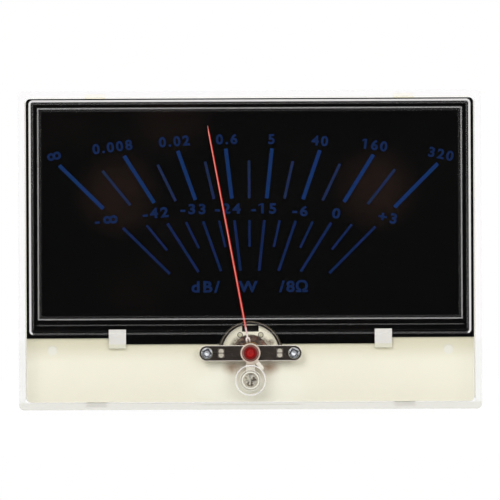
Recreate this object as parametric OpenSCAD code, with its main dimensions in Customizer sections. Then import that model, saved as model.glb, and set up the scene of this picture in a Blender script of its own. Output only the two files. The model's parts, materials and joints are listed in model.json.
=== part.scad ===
// Panel meter with a swinging needle, in millimetres.
// +X is to the right, +Z is up, and the window looks along -Y. The part stands on z = 0.
// Depth is counted along +Y from the front of the window, and is centred at the end.

/* [Cover] */
// Width of the clear cover
cover_w = 134; // [130:0.5:140]
// Height of the clear cover
cover_h = 92.3; // [90:0.1:98]
// Thickness of the cover's side walls
cover_wall = 1.8; // [1.6:0.1:2.3]
// Depth of the cover behind its flange face
cover_depth = 20.5; // [18:0.5:21.5]
// Thickness of the cover's front plate
front_plate_t = 1.8; // [1.4:0.1:2.2]
// Radius of the cover's upright corners
cover_corner_r = 1.5; // [0.8:0.1:1.8]
// Gap all round between the cover and the case inside it
fit_gap = 0.25; // [0.2:0.05:0.5]

/* [Window] */
// Height of the upper step of the raised window
window_step_t = 1; // [0.6:0.1:1.4]
// Height of the lower step of the raised window
border_step_t = 1.5; // [1:0.1:2]
// Flange left at each side of the border step
border_side = 3.1; // [2.6:0.1:4.5]
// Flange left above the border step
border_top = 2.6; // [2.3:0.1:4]
// Height of the border step's lower edge
border_z = 21.8; // [21.3:0.1:23]
// Radius of the border step's corners
border_corner_r = 1.2; // [0.6:0.1:2]
// Border left at each side of the window step
window_side = 2.5; // [1.5:0.1:3.5]
// Border left above the window step
window_top = 2.3; // [1.5:0.1:3]
// Border left below the window step
window_bottom = 4.3; // [2:0.1:5]
// Thickness of the window pane
pane_t = 1.8; // [1.4:0.1:2.2]
// Inset of the hollow behind the pane from the window step
pane_inset = 0.5; // [0.3:0.1:1]

/* [Case] */
// Thickness of the case walls
case_wall = 2; // [1.6:0.1:2.4]
// Thickness of the case's rear wall
rear_wall = 1.8; // [1.5:0.1:2.4]
// Thickness of the front panel below the dial
panel_t = 1.4; // [1.2:0.1:1.8]
// Height of the top of the shelf between light box and movement
shelf_top = 22.4; // [21.9:0.1:23.5]
// Thickness of that shelf
shelf_t = 1.8; // [1.4:0.1:2.2]
// Wall of the round socket that holds the cup
socket_wall = 1.4; // [1:0.1:1.8]
// Hole in the rear wall behind the cup, radius
rear_hole_r = 6; // [4.5:0.5:7.5]
// Distance between the two upper posts
post_pitch = 115; // [105:1:117]
// Height of the two upper posts
post_z = 17.1; // [15:0.1:17.2]
// Distance between the two lower posts
low_post_pitch = 60; // [52:1:80]
// Height of the two lower posts
low_post_z = 8; // [7.5:0.1:11]
// Radius of the case posts
post_r = 3; // [2.6:0.1:3.2]
// Radius of the panel's locating pins
locating_r = 0.8; // [0.6:0.05:0.95]
// Length of the locating pins
locating_l = 4; // [2.5:0.5:4.5]
// Radius of the screw holes in the back of the upper posts
mount_hole_r = 1.25; // [1:0.05:1.5]
// Depth of those screw holes
mount_hole_l = 7; // [5:0.5:7.5]
// Distance between the snap lugs on the case
snap_pitch = 90; // [70:1:100]
// Width of a snap lug
snap_w = 6; // [4:0.5:9]
// Depth of a snap lug, front to back
snap_d = 2.4; // [1.6:0.1:3]
// Cover left behind each snap window
snap_edge = 2; // [1.5:0.1:3]

/* [Dial] */
// Thickness of the dial plate
dial_t = 0.5; // [0.3:0.05:0.8]
// Height of the dial's lower edge between the clips
dial_low_z = 18.9; // [18.9:0.1:20]
// Height of the dial's lower edge outside the clips
dial_side_z = 20.7; // [20.2:0.1:21.8]
// Thickness of the printed marks
print_t = 0.05; // [0.03:0.01:0.1]
// Thickness of the light diffuser behind the dial
diffuser_t = 1.5; // [1:0.1:2]
// Rim of the case round the diffuser
diffuser_rim = 1; // [0.7:0.1:1.3]
// Distance between the two dial clips
clip_pitch = 77.2; // [60:0.1:90]
// Width of a dial clip
clip_w = 5; // [4:0.1:7]
// Height of a clip's lip over the dial
clip_lip = 2.5; // [1.5:0.1:3]
// Thickness of a clip's lip
clip_t = 0.6; // [0.4:0.05:0.7]

/* [Scale marks] */
// Angle between two long marks
mark_angle = 13.05; // [10:0.05:13.5]
// Number of long marks in a row
long_marks = 8; // [4:1:8]
// Top of the outer long marks above the pivot, at the middle
outer_top = 59.6; // [57:0.1:62]
// Top of the outer short marks above the pivot, at the middle
outer_short_top = 56; // [50:0.1:57]
// Foot of the outer marks above the pivot, at the middle
outer_foot = 45; // [42:0.1:48]
// Top of the inner marks above the pivot, at the middle
inner_top = 38.6; // [34:0.1:41]
// Foot of the inner short marks above the pivot, at the middle
inner_short_foot = 30.8; // [27:0.1:33]
// Foot of the inner long marks above the pivot, at the middle
inner_foot = 23.9; // [20:0.1:26]
// Radius of the flat arcs that the ends of the marks follow
mark_arc_r = 320; // [250:5:500]
// Width of an outer long mark
outer_long_w = 1.1; // [0.6:0.05:1.4]
// Width of an outer short mark
outer_short_w = 0.65; // [0.4:0.05:1]
// Width of an inner long mark
inner_long_w = 0.8; // [0.4:0.05:1.1]
// Width of an inner short mark
inner_short_w = 0.7; // [0.4:0.05:1]

/* [Bridge and bearings] */
// Height of the pivot axis above the base
pivot_z = 16.26; // [15.8:0.02:16.6]
// Length of the bridge
bridge_l = 29.9; // [29:0.1:33]
// Width of the bridge
bridge_w = 4.56; // [4.2:0.02:5]
// Thickness of the bridge
bridge_t = 0.8; // [0.6:0.05:1]
// Distance between the bridge screws
bridge_screw_pitch = 25.2; // [24.6:0.1:26.4]
// Shank radius of the bridge screws
bridge_screw_r = 0.95; // [0.8:0.05:1.1]
// Head radius of the bridge screws
bridge_head_r = 1.72; // [1.5:0.02:1.9]
// Head height of the bridge screws
bridge_head_t = 0.9; // [0.6:0.05:1]
// Radius of the panel posts under the bridge
bridge_post_r = 2; // [1.7:0.05:2.2]
// Shank radius of the front bearing screw
bearing_r = 1.2; // [1:0.05:1.3]
// Head radius of the front bearing screw
bearing_head_r = 1.72; // [1.5:0.02:1.9]
// Head height of the front bearing screw
bearing_head_t = 0.45; // [0.35:0.05:0.6]
// Reach of the front bearing screw behind the bridge
bearing_reach = 0.5; // [0.4:0.05:0.6]
// Radius of a jewel
jewel_r = 0.6; // [0.45:0.05:0.75]
// Thickness of a jewel
jewel_t = 0.45; // [0.35:0.05:0.6]
// Thread radius of the rear bearing screw
rear_screw_r = 1.5; // [1.2:0.05:1.8]
// Thickness of the lock nut on the rear bearing screw
lock_nut_t = 1.2; // [0.8:0.05:1.5]
// Corner radius of that lock nut
lock_nut_r = 3; // [2.6:0.05:3.6]

/* [Zero adjuster] */
// Distance from the pivot axis down to the adjuster's axis
adjuster_drop = 7.84; // [7.4:0.02:8.2]
// Radius of the boss inside the cover
boss_r = 4.4; // [3.8:0.1:4.5]
// Height of that boss behind the front plate
boss_t = 0.6; // [0.4:0.05:0.65]
// Radius of the adjuster's head
adjuster_head_r = 3.1; // [2.8:0.05:3.3]
// Thickness of the adjuster's head
adjuster_head_t = 0.8; // [0.6:0.05:0.9]
// Radius of the adjuster's shank
adjuster_r = 2.35; // [2.1:0.05:2.5]
// Overhang of the snap lip behind the boss
snap_lip = 0.25; // [0.15:0.05:0.35]
// Thickness of the snap lip
snap_lip_t = 0.35; // [0.25:0.05:0.4]
// Offset of the drive pin from the adjuster's axis
pin_offset = 1; // [0.7:0.05:1.3]
// Radius of the drive pin
pin_r = 0.5; // [0.4:0.05:0.6]
// Turn of the adjuster to each side
adjuster_turn = 30; // [15:1:32]
// Hub radius of the zero lever
lever_hub_r = 2.9; // [2.6:0.05:3]
// Width of the zero lever's arm
lever_w = 2.6; // [2.3:0.1:3]
// Thickness of the zero lever
lever_t = 0.5; // [0.4:0.05:0.55]
// Reach of the lever's side arm, which holds the front hairspring
lever_arm_l = 6; // [4.2:0.1:6.4]
// Width of that arm
lever_arm_w = 1.2; // [0.8:0.1:1.4]

/* [Yoke and frame] */
// Outer radius of the iron cup
cup_r = 9.2; // [9.2:0.05:9.6]
// Rim wall of the cup in front of its thick ring
cup_wall = 0.8; // [0.6:0.05:1]
// Depth of the cup's front recess down to the frame
cup_recess = 1; // [0.9:0.05:1.2]
// Radius of the bore in which the coil swings
gap_bore_r = 5.4; // [5.25:0.05:5.5]
// Thickness of the cup's floor
cup_floor_t = 1.2; // [1:0.05:1.6]
// Thickness of the frame's ring
frame_t = 0.8; // [0.6:0.05:1]
// Radius of the hole in the frame's ring
frame_hole_r = 5.2; // [5.1:0.05:5.35]
// Width of the slot in the frame's ring
frame_slot_w = 4.8; // [3:0.1:5.4]
// Height of that slot
frame_slot_h = 1.7; // [1.2:0.05:1.8]
// Distance of that slot from the pivot axis
frame_slot_z = 6.3; // [6:0.05:6.4]
// Width of the ribs that hold the core
rib_w = 1.8; // [1.4:0.05:1.9]
// Distance of the frame's pegs from the pivot axis
peg_x = 8.5; // [8.4:0.05:8.6]
// Width of a peg
peg_w = 1; // [0.8:0.05:1]
// Height of a peg
peg_h = 1.8; // [1.4:0.05:2]
// Distance of the rivets from the pivot axis
rivet_orbit = 6; // [5.95:0.05:6.15]
// Angle of the rivets from upright
rivet_angle = 30; // [30:1:36]
// Radius of a rivet's shank
rivet_r = 0.35; // [0.3:0.05:0.45]
// Depth of a rivet in the cup
rivet_l = 2; // [1:0.1:4]
// Depth of the dark pocket behind the frame's slot
slot_pocket = 3; // [1:0.1:5]
// Distance of the stop pins from the pivot axis
stop_orbit = 5.8; // [5.75:0.05:6]
// Radius of a stop pin
stop_r = 0.35; // [0.3:0.05:0.4]
// Swing of the needle to each side of upright
swing = 46.5; // [40:0.5:47]
// Radius of the core magnet
core_r = 3.7; // [3.5:0.05:3.75]
// Length of the core magnet
core_l = 5.8; // [5:0.1:6.5]

/* [Moving coil] */
// Angle of the needle from upright, minus to the left
needle_angle = -10.5; // [-45:0.5:45]
// Inner half width of the coil former
coil_x = 3.9; // [3.85:0.05:4]
// Half of the coil's width along the core
coil_half_w = 1.3; // [1:0.05:1.35]
// Thickness of the coil former
former_t = 0.2; // [0.15:0.05:0.25]
// Thickness of the winding
winding_t = 0.6; // [0.4:0.05:0.6]
// Gap between the core and the coil's cross sides
coil_end_gap = 0.5; // [0.4:0.05:0.6]
// Radius of the staffs
staff_r = 0.35; // [0.25:0.05:0.4]
// Radius of the staffs' pivots
pivot_r = 0.1; // [0.08:0.01:0.12]
// Radius of a staff's foot on the coil
foot_r = 1.1; // [0.9:0.05:1.3]
// Radius of a hairspring's collet
collet_r = 0.7; // [0.6:0.05:0.8]
// Turns of a hairspring
spring_turns = 4.75; // [3:0.25:4.75]
// Pitch of a hairspring
spring_pitch = 0.54; // [0.53:0.01:0.56]
// Thickness of a hairspring's strip
spring_t = 0.12; // [0.08:0.01:0.12]
// Width of a hairspring's strip
spring_h = 0.35; // [0.25:0.05:0.4]
// Reach of the needle from the pivot axis
needle_l = 67.2; // [62:0.1:68]
// Start of the needle under its holder
needle_root = 4.4; // [3.5:0.1:5]
// Width of the needle at its root
needle_root_w = 0.75; // [0.5:0.05:0.9]
// Width of the needle near its tip
needle_tip_w = 0.55; // [0.3:0.05:0.6]
// Thickness of the needle
needle_t = 0.12; // [0.1:0.01:0.2]
// Gap between the needle and the dial
needle_gap = 0.85; // [0.75:0.05:1]
// Reach of the needle's holder
holder_l = 5.9; // [5.4:0.1:7]
// Width of the needle's holder
holder_w = 1.25; // [1:0.05:1.5]
// Thickness of the needle's holder
holder_t = 0.3; // [0.2:0.05:0.35]
// Width of the balance arms
arm_w = 0.7; // [0.5:0.05:0.75]
// Thickness of the balance arms
arm_t = 0.4; // [0.3:0.05:0.45]
// Reach of the tail arm
tail_l = 6.2; // [6.1:0.1:6.6]
// Reach of the side arms
side_arm_l = 4.6; // [4.2:0.1:4.7]
// Width of the tail weight
tail_weight_w = 3; // [2:0.1:3]
// Length of the tail weight along its arm
tail_weight_l = 1.8; // [1.2:0.1:1.9]
// Outer end of the tail weight
tail_weight_end = 5; // [4.6:0.1:5]
// Length of a side weight along its arm
side_weight_l = 1.2; // [0.8:0.1:1.6]
// Radius of a side weight
side_weight_r = 0.5; // [0.45:0.01:0.5]

/* [Terminals and lamps] */
// Distance between the signal pins
signal_pitch = 40; // [36:0.5:50]
// Height of the signal pins
signal_z = 12; // [11:0.5:14]
// Radius of a signal pin
signal_r = 0.75; // [0.5:0.05:1]
// Length of a signal pin behind the case
signal_l = 8; // [6:0.5:12]
// Thickness of the contact strips
strip_t = 0.5; // [0.4:0.05:0.6]
// Width of the contact strips
strip_w = 3; // [2.4:0.1:3.2]
// Width of the lamp board
board_w = 90; // [80:1:110]
// Height of the lamp board
board_h = 12; // [9:0.5:16]
// Thickness of the lamp board
board_t = 1.6; // [1:0.1:2]
// Height of the lamps above the base
lamp_z = 58; // [45:0.5:70]
// Distance of an outer lamp from the end of the board
lamp_edge = 11; // [9:0.5:20]
// Radius of a lamp
lamp_r = 2.5; // [1.5:0.1:2.5]
// Reach of a lamp into the case from the board
lamp_l = 5.6; // [5:0.1:7]
// Distance of a board screw from the end of the board
board_screw_edge = 4; // [3:0.1:5]
// Shank radius of the board screws
board_screw_r = 1; // [0.8:0.05:1.2]
// Distance between the lamp pins
lamp_pin_pitch = 10; // [6:0.5:14]
// Radius of a lamp pin
lamp_pin_r = 0.5; // [0.4:0.05:0.7]
// Length of a lamp pin behind the board
lamp_pin_l = 5; // [4:0.5:6]
// Thickness of the collars on the signal and lamp pins
collar_t = 0.6; // [0.6:0.05:0.9]
// Length of a resistor
resistor_l = 3.2; // [2:0.1:4]
// Width of a resistor
resistor_w = 1.6; // [0.8:0.1:2]
// Thickness of a resistor
resistor_t = 0.6; // [0.4:0.1:0.8]

/* [Hidden] */
$fn = 64;

// Clearances
cut = 1;              // how far a cut runs past an open face
run_gap = 0.05;       // running clearance of a shaft, on the radius
thin_gap = 0.1;       // gap between flat faces that pass each other
seat_gap = 0.2;       // play of a loose piece in its seat
cup_play = 0.25;      // play of the cup in its socket, on the radius
stop_slack = 0.5;     // angle left between the tail and its stop
turn_points = 24;     // points in one turn of a hairspring

// Stations in depth, front to back
border_s = window_step_t;
flange_s = border_s + border_step_t;
plate_back_s = flange_s + front_plate_t;
cover_back_s = flange_s + cover_depth;
boss_back_s = plate_back_s + boss_t;
bearing_head_s = plate_back_s + seat_gap;
lever_s = bearing_head_s + bearing_head_t + run_gap;
bridge_s = lever_s + lever_t + thin_gap;
bridge_back_s = bridge_s + bridge_t;
bearing_tip_s = bridge_back_s + bearing_reach;
spring_s = bearing_tip_s + thin_gap;
holder_s = spring_s + spring_h + 1.5 * thin_gap;
needle_s = holder_s + holder_t;
dial_s = needle_s + needle_t + needle_gap;
panel_s = dial_s + dial_t;
panel_back_s = panel_s + panel_t;
rim_s = panel_back_s + seat_gap;
frame_s = rim_s + cup_recess;
seat_s = frame_s + frame_t;
winding_s = frame_s + thin_gap;
core_s = winding_s + winding_t + former_t + coil_end_gap;
core_back_s = core_s + core_l;
winding_back_s = core_back_s + coil_end_gap + former_t + winding_t;
rear_foot_s = winding_back_s + spring_h;
rear_spring_s = rear_foot_s + 1.5 * thin_gap;
rear_tip_s = rear_spring_s + spring_h + 1.5 * thin_gap;
cup_floor_s = rear_tip_s + jewel_t + run_gap;
rear_in_s = cup_floor_s + cup_floor_t;
case_back_s = rear_in_s + rear_wall;
board_back_s = case_back_s + board_t;
total_depth = case_back_s + signal_l;
arm_s = (panel_back_s + winding_s - arm_t) / 2;
crank_s = boss_back_s + run_gap + snap_lip_t + thin_gap;

// Outlines
case_side = cover_w / 2 - cover_wall - fit_gap;
case_z = cover_wall + fit_gap;
case_top = cover_h - cover_wall - fit_gap;
case_corner_r = max(cover_corner_r - fit_gap, 0.3);
hollow_side = case_side - case_wall;
hollow_z = case_z + case_wall;
hollow_top = case_top - case_wall;
border_x = cover_w / 2 - border_side;
border_top_z = cover_h - border_top;
window_x = border_x - window_side;
window_z = border_z + window_bottom;
window_top_z = border_top_z - window_top;
seat_side = case_side - diffuser_rim;
seat_top = case_top - diffuser_rim;
socket_in_r = cup_r + cup_play;
socket_r = socket_in_r + socket_wall;
notch_drop = bridge_w / 2 - 0.25;
adjuster_z = pivot_z - adjuster_drop;
adjuster_bore_r = adjuster_r + run_gap;
clip_x = clip_pitch / 2;
clip_base_z = dial_low_z - thin_gap;
clip_foot_h = 0.9;
clip_foot_w = 0.6 * clip_w;
frame_r = cup_r - cup_wall - thin_gap;
rib_out = gap_bore_r - thin_gap;
rib_in_front = rib_out - 1.1;
spring_in_r = collet_r + spring_t / 2 + 0.01;
spring_out_r = spring_in_r + spring_pitch * spring_turns;
anchor_r = spring_out_r + spring_t / 2 + 0.02;
anchor_angle = 37;
anchor_w = 0.7;
anchor_t = 0.5;
coil_out_x = coil_x + former_t + winding_t;
tail_half_angle = asin(arm_w / 2 / stop_orbit) + asin(stop_r / stop_orbit);
lever_turn = adjuster_turn * pin_offset / (adjuster_drop + pin_offset);
stop_angle = swing + lever_turn + stop_slack + tail_half_angle;
snap_back_s = cover_back_s - snap_edge;
snap_out = cover_wall + fit_gap - 0.5;
bridge_screw_x = bridge_screw_pitch / 2;
bridge_tip_s = panel_back_s + strip_t + 0.3;
signal_x = signal_pitch / 2;
strip_lap = 2;        // contact strip on each side of its pin
strip_x = signal_x - strip_lap;
board_screw_x = board_w / 2 - board_screw_edge;
lamp_pitch = board_w / 2 - lamp_edge;
board_boss_l = 3 * board_screw_r;
lamp_root_r = 0.8 * lamp_pin_r;
lamp_xs = [-lamp_pitch, 0, lamp_pitch];

// Small shared sizes
fork_l = 1.2;         // fork beyond the drive pin
peg_head_w = 2 * peg_w;
peg_head_h = peg_h + 0.8;
peg_head_t = 0.45;
post_in_x = peg_x - peg_w / 2 - 0.8;
post_out_x = peg_x + peg_w / 2;
post_h = peg_h + 1;

// Puts a piece that is drawn in depth stations where it belongs
module in_depth() {
    translate([0, -total_depth / 2, 0]) children();
}

// Puts a piece round the pivot axis
module at_pivot() {
    in_depth() translate([0, 0, pivot_z]) children();
}

// Puts a piece that swings with the needle, drawn with the needle upright
module swung() {
    at_pivot() rotate([0, needle_angle, 0]) children();
}

// Extrudes an outline in X and Z from one depth to another
module slab(s0, s1) {
    translate([0, s1, 0]) rotate([90, 0, 0]) linear_extrude(s1 - s0) children();
}

// Round bar along the depth
module rod(r, s0, s1, x = 0, z = 0) {
    translate([x, s1, z]) rotate([90, 0, 0]) cylinder(r = r, h = s1 - s0);
}

// Box between two corners
module block(low, high) {
    translate(low) cube(high - low);
}

// Rectangle between two corners
module rectangle(x0, z0, x1, z1) {
    translate([x0, z0]) square([x1 - x0, z1 - z0]);
}

// Rectangle with round corners
module round_rectangle(x0, z0, x1, z1, r) {
    rectangle(x0 + r, z0, x1 - r, z1);
    rectangle(x0, z0 + r, x1, z1 - r);
    for (x = [x0 + r, x1 - r], z = [z0 + r, z1 - r]) translate([x, z]) circle(r);
}

// Draws its children at plus and minus x
module both_sides(x) {
    for (side = [-1, 1]) translate([side * x, 0, 0]) children();
}

// Outline of the case
module case_outline() {
    round_rectangle(-case_side, case_z, case_side, case_top, case_corner_r);
}

module front_cover() {
    color([0.93, 0.95, 0.96, 0.35]) in_depth() difference() {
        union() {
            difference() {
                union() {
                    slab(flange_s, cover_back_s)
                        round_rectangle(-cover_w / 2, 0, cover_w / 2, cover_h, cover_corner_r);
                    slab(border_s, flange_s)
                        round_rectangle(-border_x, border_z, border_x, border_top_z, border_corner_r);
                    slab(0, border_s) rectangle(-window_x, window_z, window_x, window_top_z);
                }
                block([cover_wall - cover_w / 2, plate_back_s, cover_wall],
                      [cover_w / 2 - cover_wall, cover_back_s + cut, cover_h - cover_wall]);
                block([pane_inset - window_x, pane_t, window_z + pane_inset],
                      [window_x - pane_inset, plate_back_s + cut, window_top_z - pane_inset]);
            }
            rod(boss_r, plate_back_s, boss_back_s, 0, adjuster_z);
        }
        rod(adjuster_bore_r, flange_s - cut, boss_back_s + cut, 0, adjuster_z);
        rod(adjuster_head_r + thin_gap, flange_s - cut, flange_s + adjuster_head_t + thin_gap,
            0, adjuster_z);
        both_sides(snap_pitch / 2)
            block([-snap_w / 2 - seat_gap, snap_back_s - snap_d - 2 * seat_gap, -cut],
                  [snap_w / 2 + seat_gap, snap_back_s, cover_h + cut]);
    }
}

// Sloping lug on the case that clicks into a window of the cover
module snap_lug() {
    rotate([90, 0, 90]) translate([0, 0, -snap_w / 2]) linear_extrude(snap_w)
        polygon([[0, -0.5], [snap_d, -0.5], [0.5, snap_out], [0, snap_out]]);
}

module rear_case() {
    color([0.95, 0.93, 0.85]) in_depth() difference() {
        union() {
            difference() {
                slab(panel_s, case_back_s) case_outline();
                block([-hollow_side, panel_s - cut, shelf_top], [hollow_side, rear_in_s, hollow_top]);
                block([-seat_side, panel_s - cut, shelf_top],
                      [seat_side, panel_s + diffuser_t, seat_top]);
                block([-hollow_side, panel_s - cut, hollow_z],
                      [hollow_side, rear_in_s, shelf_top - shelf_t]);
                block([-cover_w, panel_s - cut, -cut], [cover_w, panel_back_s, shelf_top]);
            }
            rod(socket_r, panel_back_s, rear_in_s, 0, pivot_z);
            slab(panel_s, panel_back_s) intersection() {
                translate([0, pivot_z]) circle(socket_r);
                rectangle(-socket_r, shelf_top, socket_r, shelf_top + socket_r);
            }
            both_sides(post_pitch / 2) rod(post_r, panel_back_s, rear_in_s, 0, post_z);
            both_sides(low_post_pitch / 2) rod(post_r, panel_back_s, rear_in_s, 0, low_post_z);
            both_sides(board_screw_x)
                rod(2.2 * board_screw_r, rear_in_s - board_boss_l, rear_in_s, 0, lamp_z);
            both_sides(snap_pitch / 2) {
                translate([0, snap_back_s - snap_d - seat_gap, case_top]) snap_lug();
                translate([0, snap_back_s - snap_d - seat_gap, case_z])
                    mirror([0, 0, 1]) snap_lug();
            }
        }
        rod(socket_in_r, panel_s - cut, rear_in_s, 0, pivot_z);
        rod(rear_hole_r, rear_in_s - cut, case_back_s + cut, 0, pivot_z);
        both_sides(post_pitch / 2) {
            rod(locating_r + run_gap / 2, panel_back_s - cut, panel_back_s + locating_l + seat_gap,
                0, post_z);
            rod(mount_hole_r, case_back_s - mount_hole_l, case_back_s + cut, 0, post_z);
        }
        both_sides(low_post_pitch / 2)
            rod(locating_r + run_gap / 2, panel_back_s - cut, panel_back_s + locating_l + seat_gap,
                0, low_post_z);
        both_sides(board_screw_x)
            rod(board_screw_r, rear_in_s - 0.8 * board_boss_l, case_back_s + cut, 0, lamp_z);
        for (x = lamp_xs) rod(lamp_r + seat_gap, rear_in_s - cut, case_back_s + cut, x, lamp_z);
        both_sides(signal_x) rod(signal_r + run_gap, rear_in_s - cut, case_back_s + cut, 0, signal_z);
        // Window in the socket for the contact finger
        block([0, rear_in_s - strip_t - seat_gap, pivot_z - strip_w / 2 - seat_gap],
              [socket_r + cut, rear_in_s, pivot_z + strip_w / 2 + seat_gap]);
    }
}

// Opening in the front panel round the upper half of the cup
module panel_notch() {
    intersection() {
        circle(socket_in_r);
        rectangle(-socket_r, -notch_drop, socket_r, socket_r);
    }
}

module front_panel() {
    color([0.95, 0.93, 0.86]) in_depth() difference() {
        union() {
            slab(panel_s, panel_back_s) difference() {
                intersection() {
                    case_outline();
                    rectangle(-cover_w, 0, cover_w, shelf_top);
                }
                translate([0, pivot_z]) panel_notch();
            }
            both_sides(bridge_screw_x) rod(bridge_post_r, bridge_back_s, panel_s, 0, pivot_z);
            both_sides(post_pitch / 2)
                rod(locating_r, panel_back_s, panel_back_s + locating_l, 0, post_z);
            both_sides(low_post_pitch / 2)
                rod(locating_r, panel_back_s, panel_back_s + locating_l, 0, low_post_z);
        }
        both_sides(bridge_screw_x)
            rod(bridge_screw_r, bridge_back_s - cut, panel_back_s + cut, 0, pivot_z);
        both_sides(clip_x)
            block([-clip_foot_w / 2 - run_gap, panel_s - cut, clip_base_z - clip_foot_h - run_gap],
                  [clip_foot_w / 2 + run_gap, panel_back_s + cut, clip_base_z + run_gap]);
    }
}

module dial_plate() {
    color([0.06, 0.06, 0.065]) in_depth() slab(dial_s, panel_s) difference() {
        union() {
            intersection() {
                case_outline();
                rectangle(-cover_w, dial_side_z, cover_w, cover_h);
            }
            rectangle(-clip_x, dial_low_z, clip_x, dial_side_z + 1);
        }
        translate([0, pivot_z]) circle(socket_in_r);
    }
}

// Distance along a ray at angle a to an arc whose top is height h above the pivot
function mark_reach(a, h) =
    let (bend = pow(sin(a), 2) / mark_arc_r)
    bend < 0.000001 ? h : (sqrt(pow(cos(a), 2) + 2 * bend * h) - cos(a)) / bend;

// One mark on the ray at angle a, between two arcs
module mark(a, foot, top, w) {
    slab(dial_s - print_t, dial_s)
        rotate(-a) rectangle(-w / 2, mark_reach(a, foot), w / 2, mark_reach(a, top));
}

module scale_print() {
    color([0.12, 0.22, 0.42]) at_pivot() {
        first = -mark_angle * (long_marks - 1) / 2;
        for (i = [0 : long_marks - 1]) {
            mark(first + i * mark_angle, outer_foot, outer_top, outer_long_w);
            mark(first + i * mark_angle, inner_foot, inner_top, inner_long_w);
        }
        for (i = [0 : long_marks - 2]) {
            mark(first + (i + 0.5) * mark_angle, outer_foot, outer_short_top, outer_short_w);
            mark(first + (i + 0.5) * mark_angle, inner_short_foot, inner_top, inner_short_w);
        }
    }
}

module dial_clips() {
    color([0.9, 0.89, 0.87]) in_depth() both_sides(clip_x) {
        lip_s = dial_s - thin_gap / 2 - clip_t;
        block([-clip_w / 2, lip_s, clip_base_z - 1.1],
              [clip_w / 2, panel_s, clip_base_z]);
        block([-clip_w / 2, lip_s, clip_base_z],
              [clip_w / 2, lip_s + clip_t, dial_side_z + clip_lip]);
        block([-clip_foot_w / 2, panel_s, clip_base_z - clip_foot_h],
              [clip_foot_w / 2, panel_back_s + 0.6, clip_base_z]);
    }
}

module light_diffuser() {
    color([0.97, 0.97, 0.95]) in_depth() slab(panel_s, panel_s + diffuser_t) difference() {
        rectangle(seat_gap - seat_side, shelf_top + seat_gap, seat_side - seat_gap,
                  seat_top - seat_gap);
        translate([0, pivot_z]) circle(socket_r + seat_gap);
    }
}

module bridge() {
    color([0.24, 0.22, 0.21]) at_pivot() slab(bridge_s, bridge_back_s) difference() {
        union() {
            end_x = bridge_l / 2 - bridge_w / 2;
            rectangle(-end_x, -bridge_w / 2, end_x, bridge_w / 2);
            for (x = [-end_x, end_x]) translate([x, 0]) circle(bridge_w / 2);
        }
        circle(bearing_r);
        for (side = [-1, 1]) {
            translate([side * bridge_screw_x, 0]) circle(bridge_screw_r + thin_gap);
            translate([side * peg_x, 0])
                rectangle(-peg_w / 2, -peg_h / 2, peg_w / 2, peg_h / 2);
        }
    }
}

// Cross recess in a screw head, between two depths
module cross_recess(w, s0, s1) {
    for (turn = [0, 90]) rotate([0, turn, 0]) block([-w / 2, s0, -w / 8], [w / 2, s1, w / 8]);
}

module bridge_screws() {
    color([0.8, 0.81, 0.83]) at_pivot() both_sides(bridge_screw_x) difference() {
        union() {
            rod(bridge_head_r, bridge_s - bridge_head_t, bridge_s);
            rod(bridge_screw_r, bridge_s, bridge_tip_s);
        }
        cross_recess(bridge_head_r, bridge_s - bridge_head_t - cut, bridge_s - bridge_head_t / 2);
    }
}

module front_bearing_screw() {
    color([0.62, 0.09, 0.08]) at_pivot() difference() {
        union() {
            rod(bearing_head_r, bearing_head_s, bearing_head_s + bearing_head_t);
            rod(bearing_r, bearing_head_s + bearing_head_t, bearing_tip_s);
        }
        rod(jewel_r, bearing_tip_s - jewel_t, bearing_tip_s + cut);
        // Ring turned into the head
        difference() {
            rod(bearing_head_r / 2, bearing_head_s - cut, bearing_head_s + 0.1);
            rod(bearing_head_r / 3, bearing_head_s - 2 * cut, bearing_head_s + 0.2);
        }
    }
}

// Jewel whose cup opens towards the coil; dir is 1 in front of the coil and -1 behind it
module jewel(tip, dir) {
    difference() {
        rod(jewel_r, min(tip, tip - dir * jewel_t), max(tip, tip - dir * jewel_t));
        floor_s = tip - dir * (jewel_t - thin_gap);
        rod(pivot_r + run_gap, min(floor_s, tip + dir * cut), max(floor_s, tip + dir * cut));
    }
}

module front_jewel() {
    color([0.75, 0.1, 0.15]) at_pivot() jewel(bearing_tip_s, 1);
}

module rear_jewel() {
    color([0.75, 0.1, 0.15]) at_pivot() jewel(rear_tip_s, -1);
}

module zero_adjuster() {
    color([0.95, 0.95, 0.93, 0.6]) in_depth() translate([0, 0, adjuster_z]) difference() {
        union() {
            head_back_s = flange_s + adjuster_head_t;
            lip_s = boss_back_s + run_gap;
            rod(adjuster_head_r, flange_s, head_back_s);
            rod(adjuster_r, head_back_s, lip_s);
            rod(adjuster_r + snap_lip, lip_s, lip_s + snap_lip_t);
            rod(pin_r, lip_s + snap_lip_t, crank_s + lever_t + thin_gap, 0, -pin_offset);
        }
        // Screwdriver slot
        block([-0.75 * adjuster_head_r, flange_s - cut, -0.4],
              [0.75 * adjuster_head_r, flange_s + 0.5, 0.4]);
        // Split that lets the snap lip spring inwards
        block([-adjuster_head_r, flange_s + adjuster_head_t, -0.2],
              [adjuster_head_r, crank_s + lever_t + cut, 0.2]);
    }
}

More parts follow.
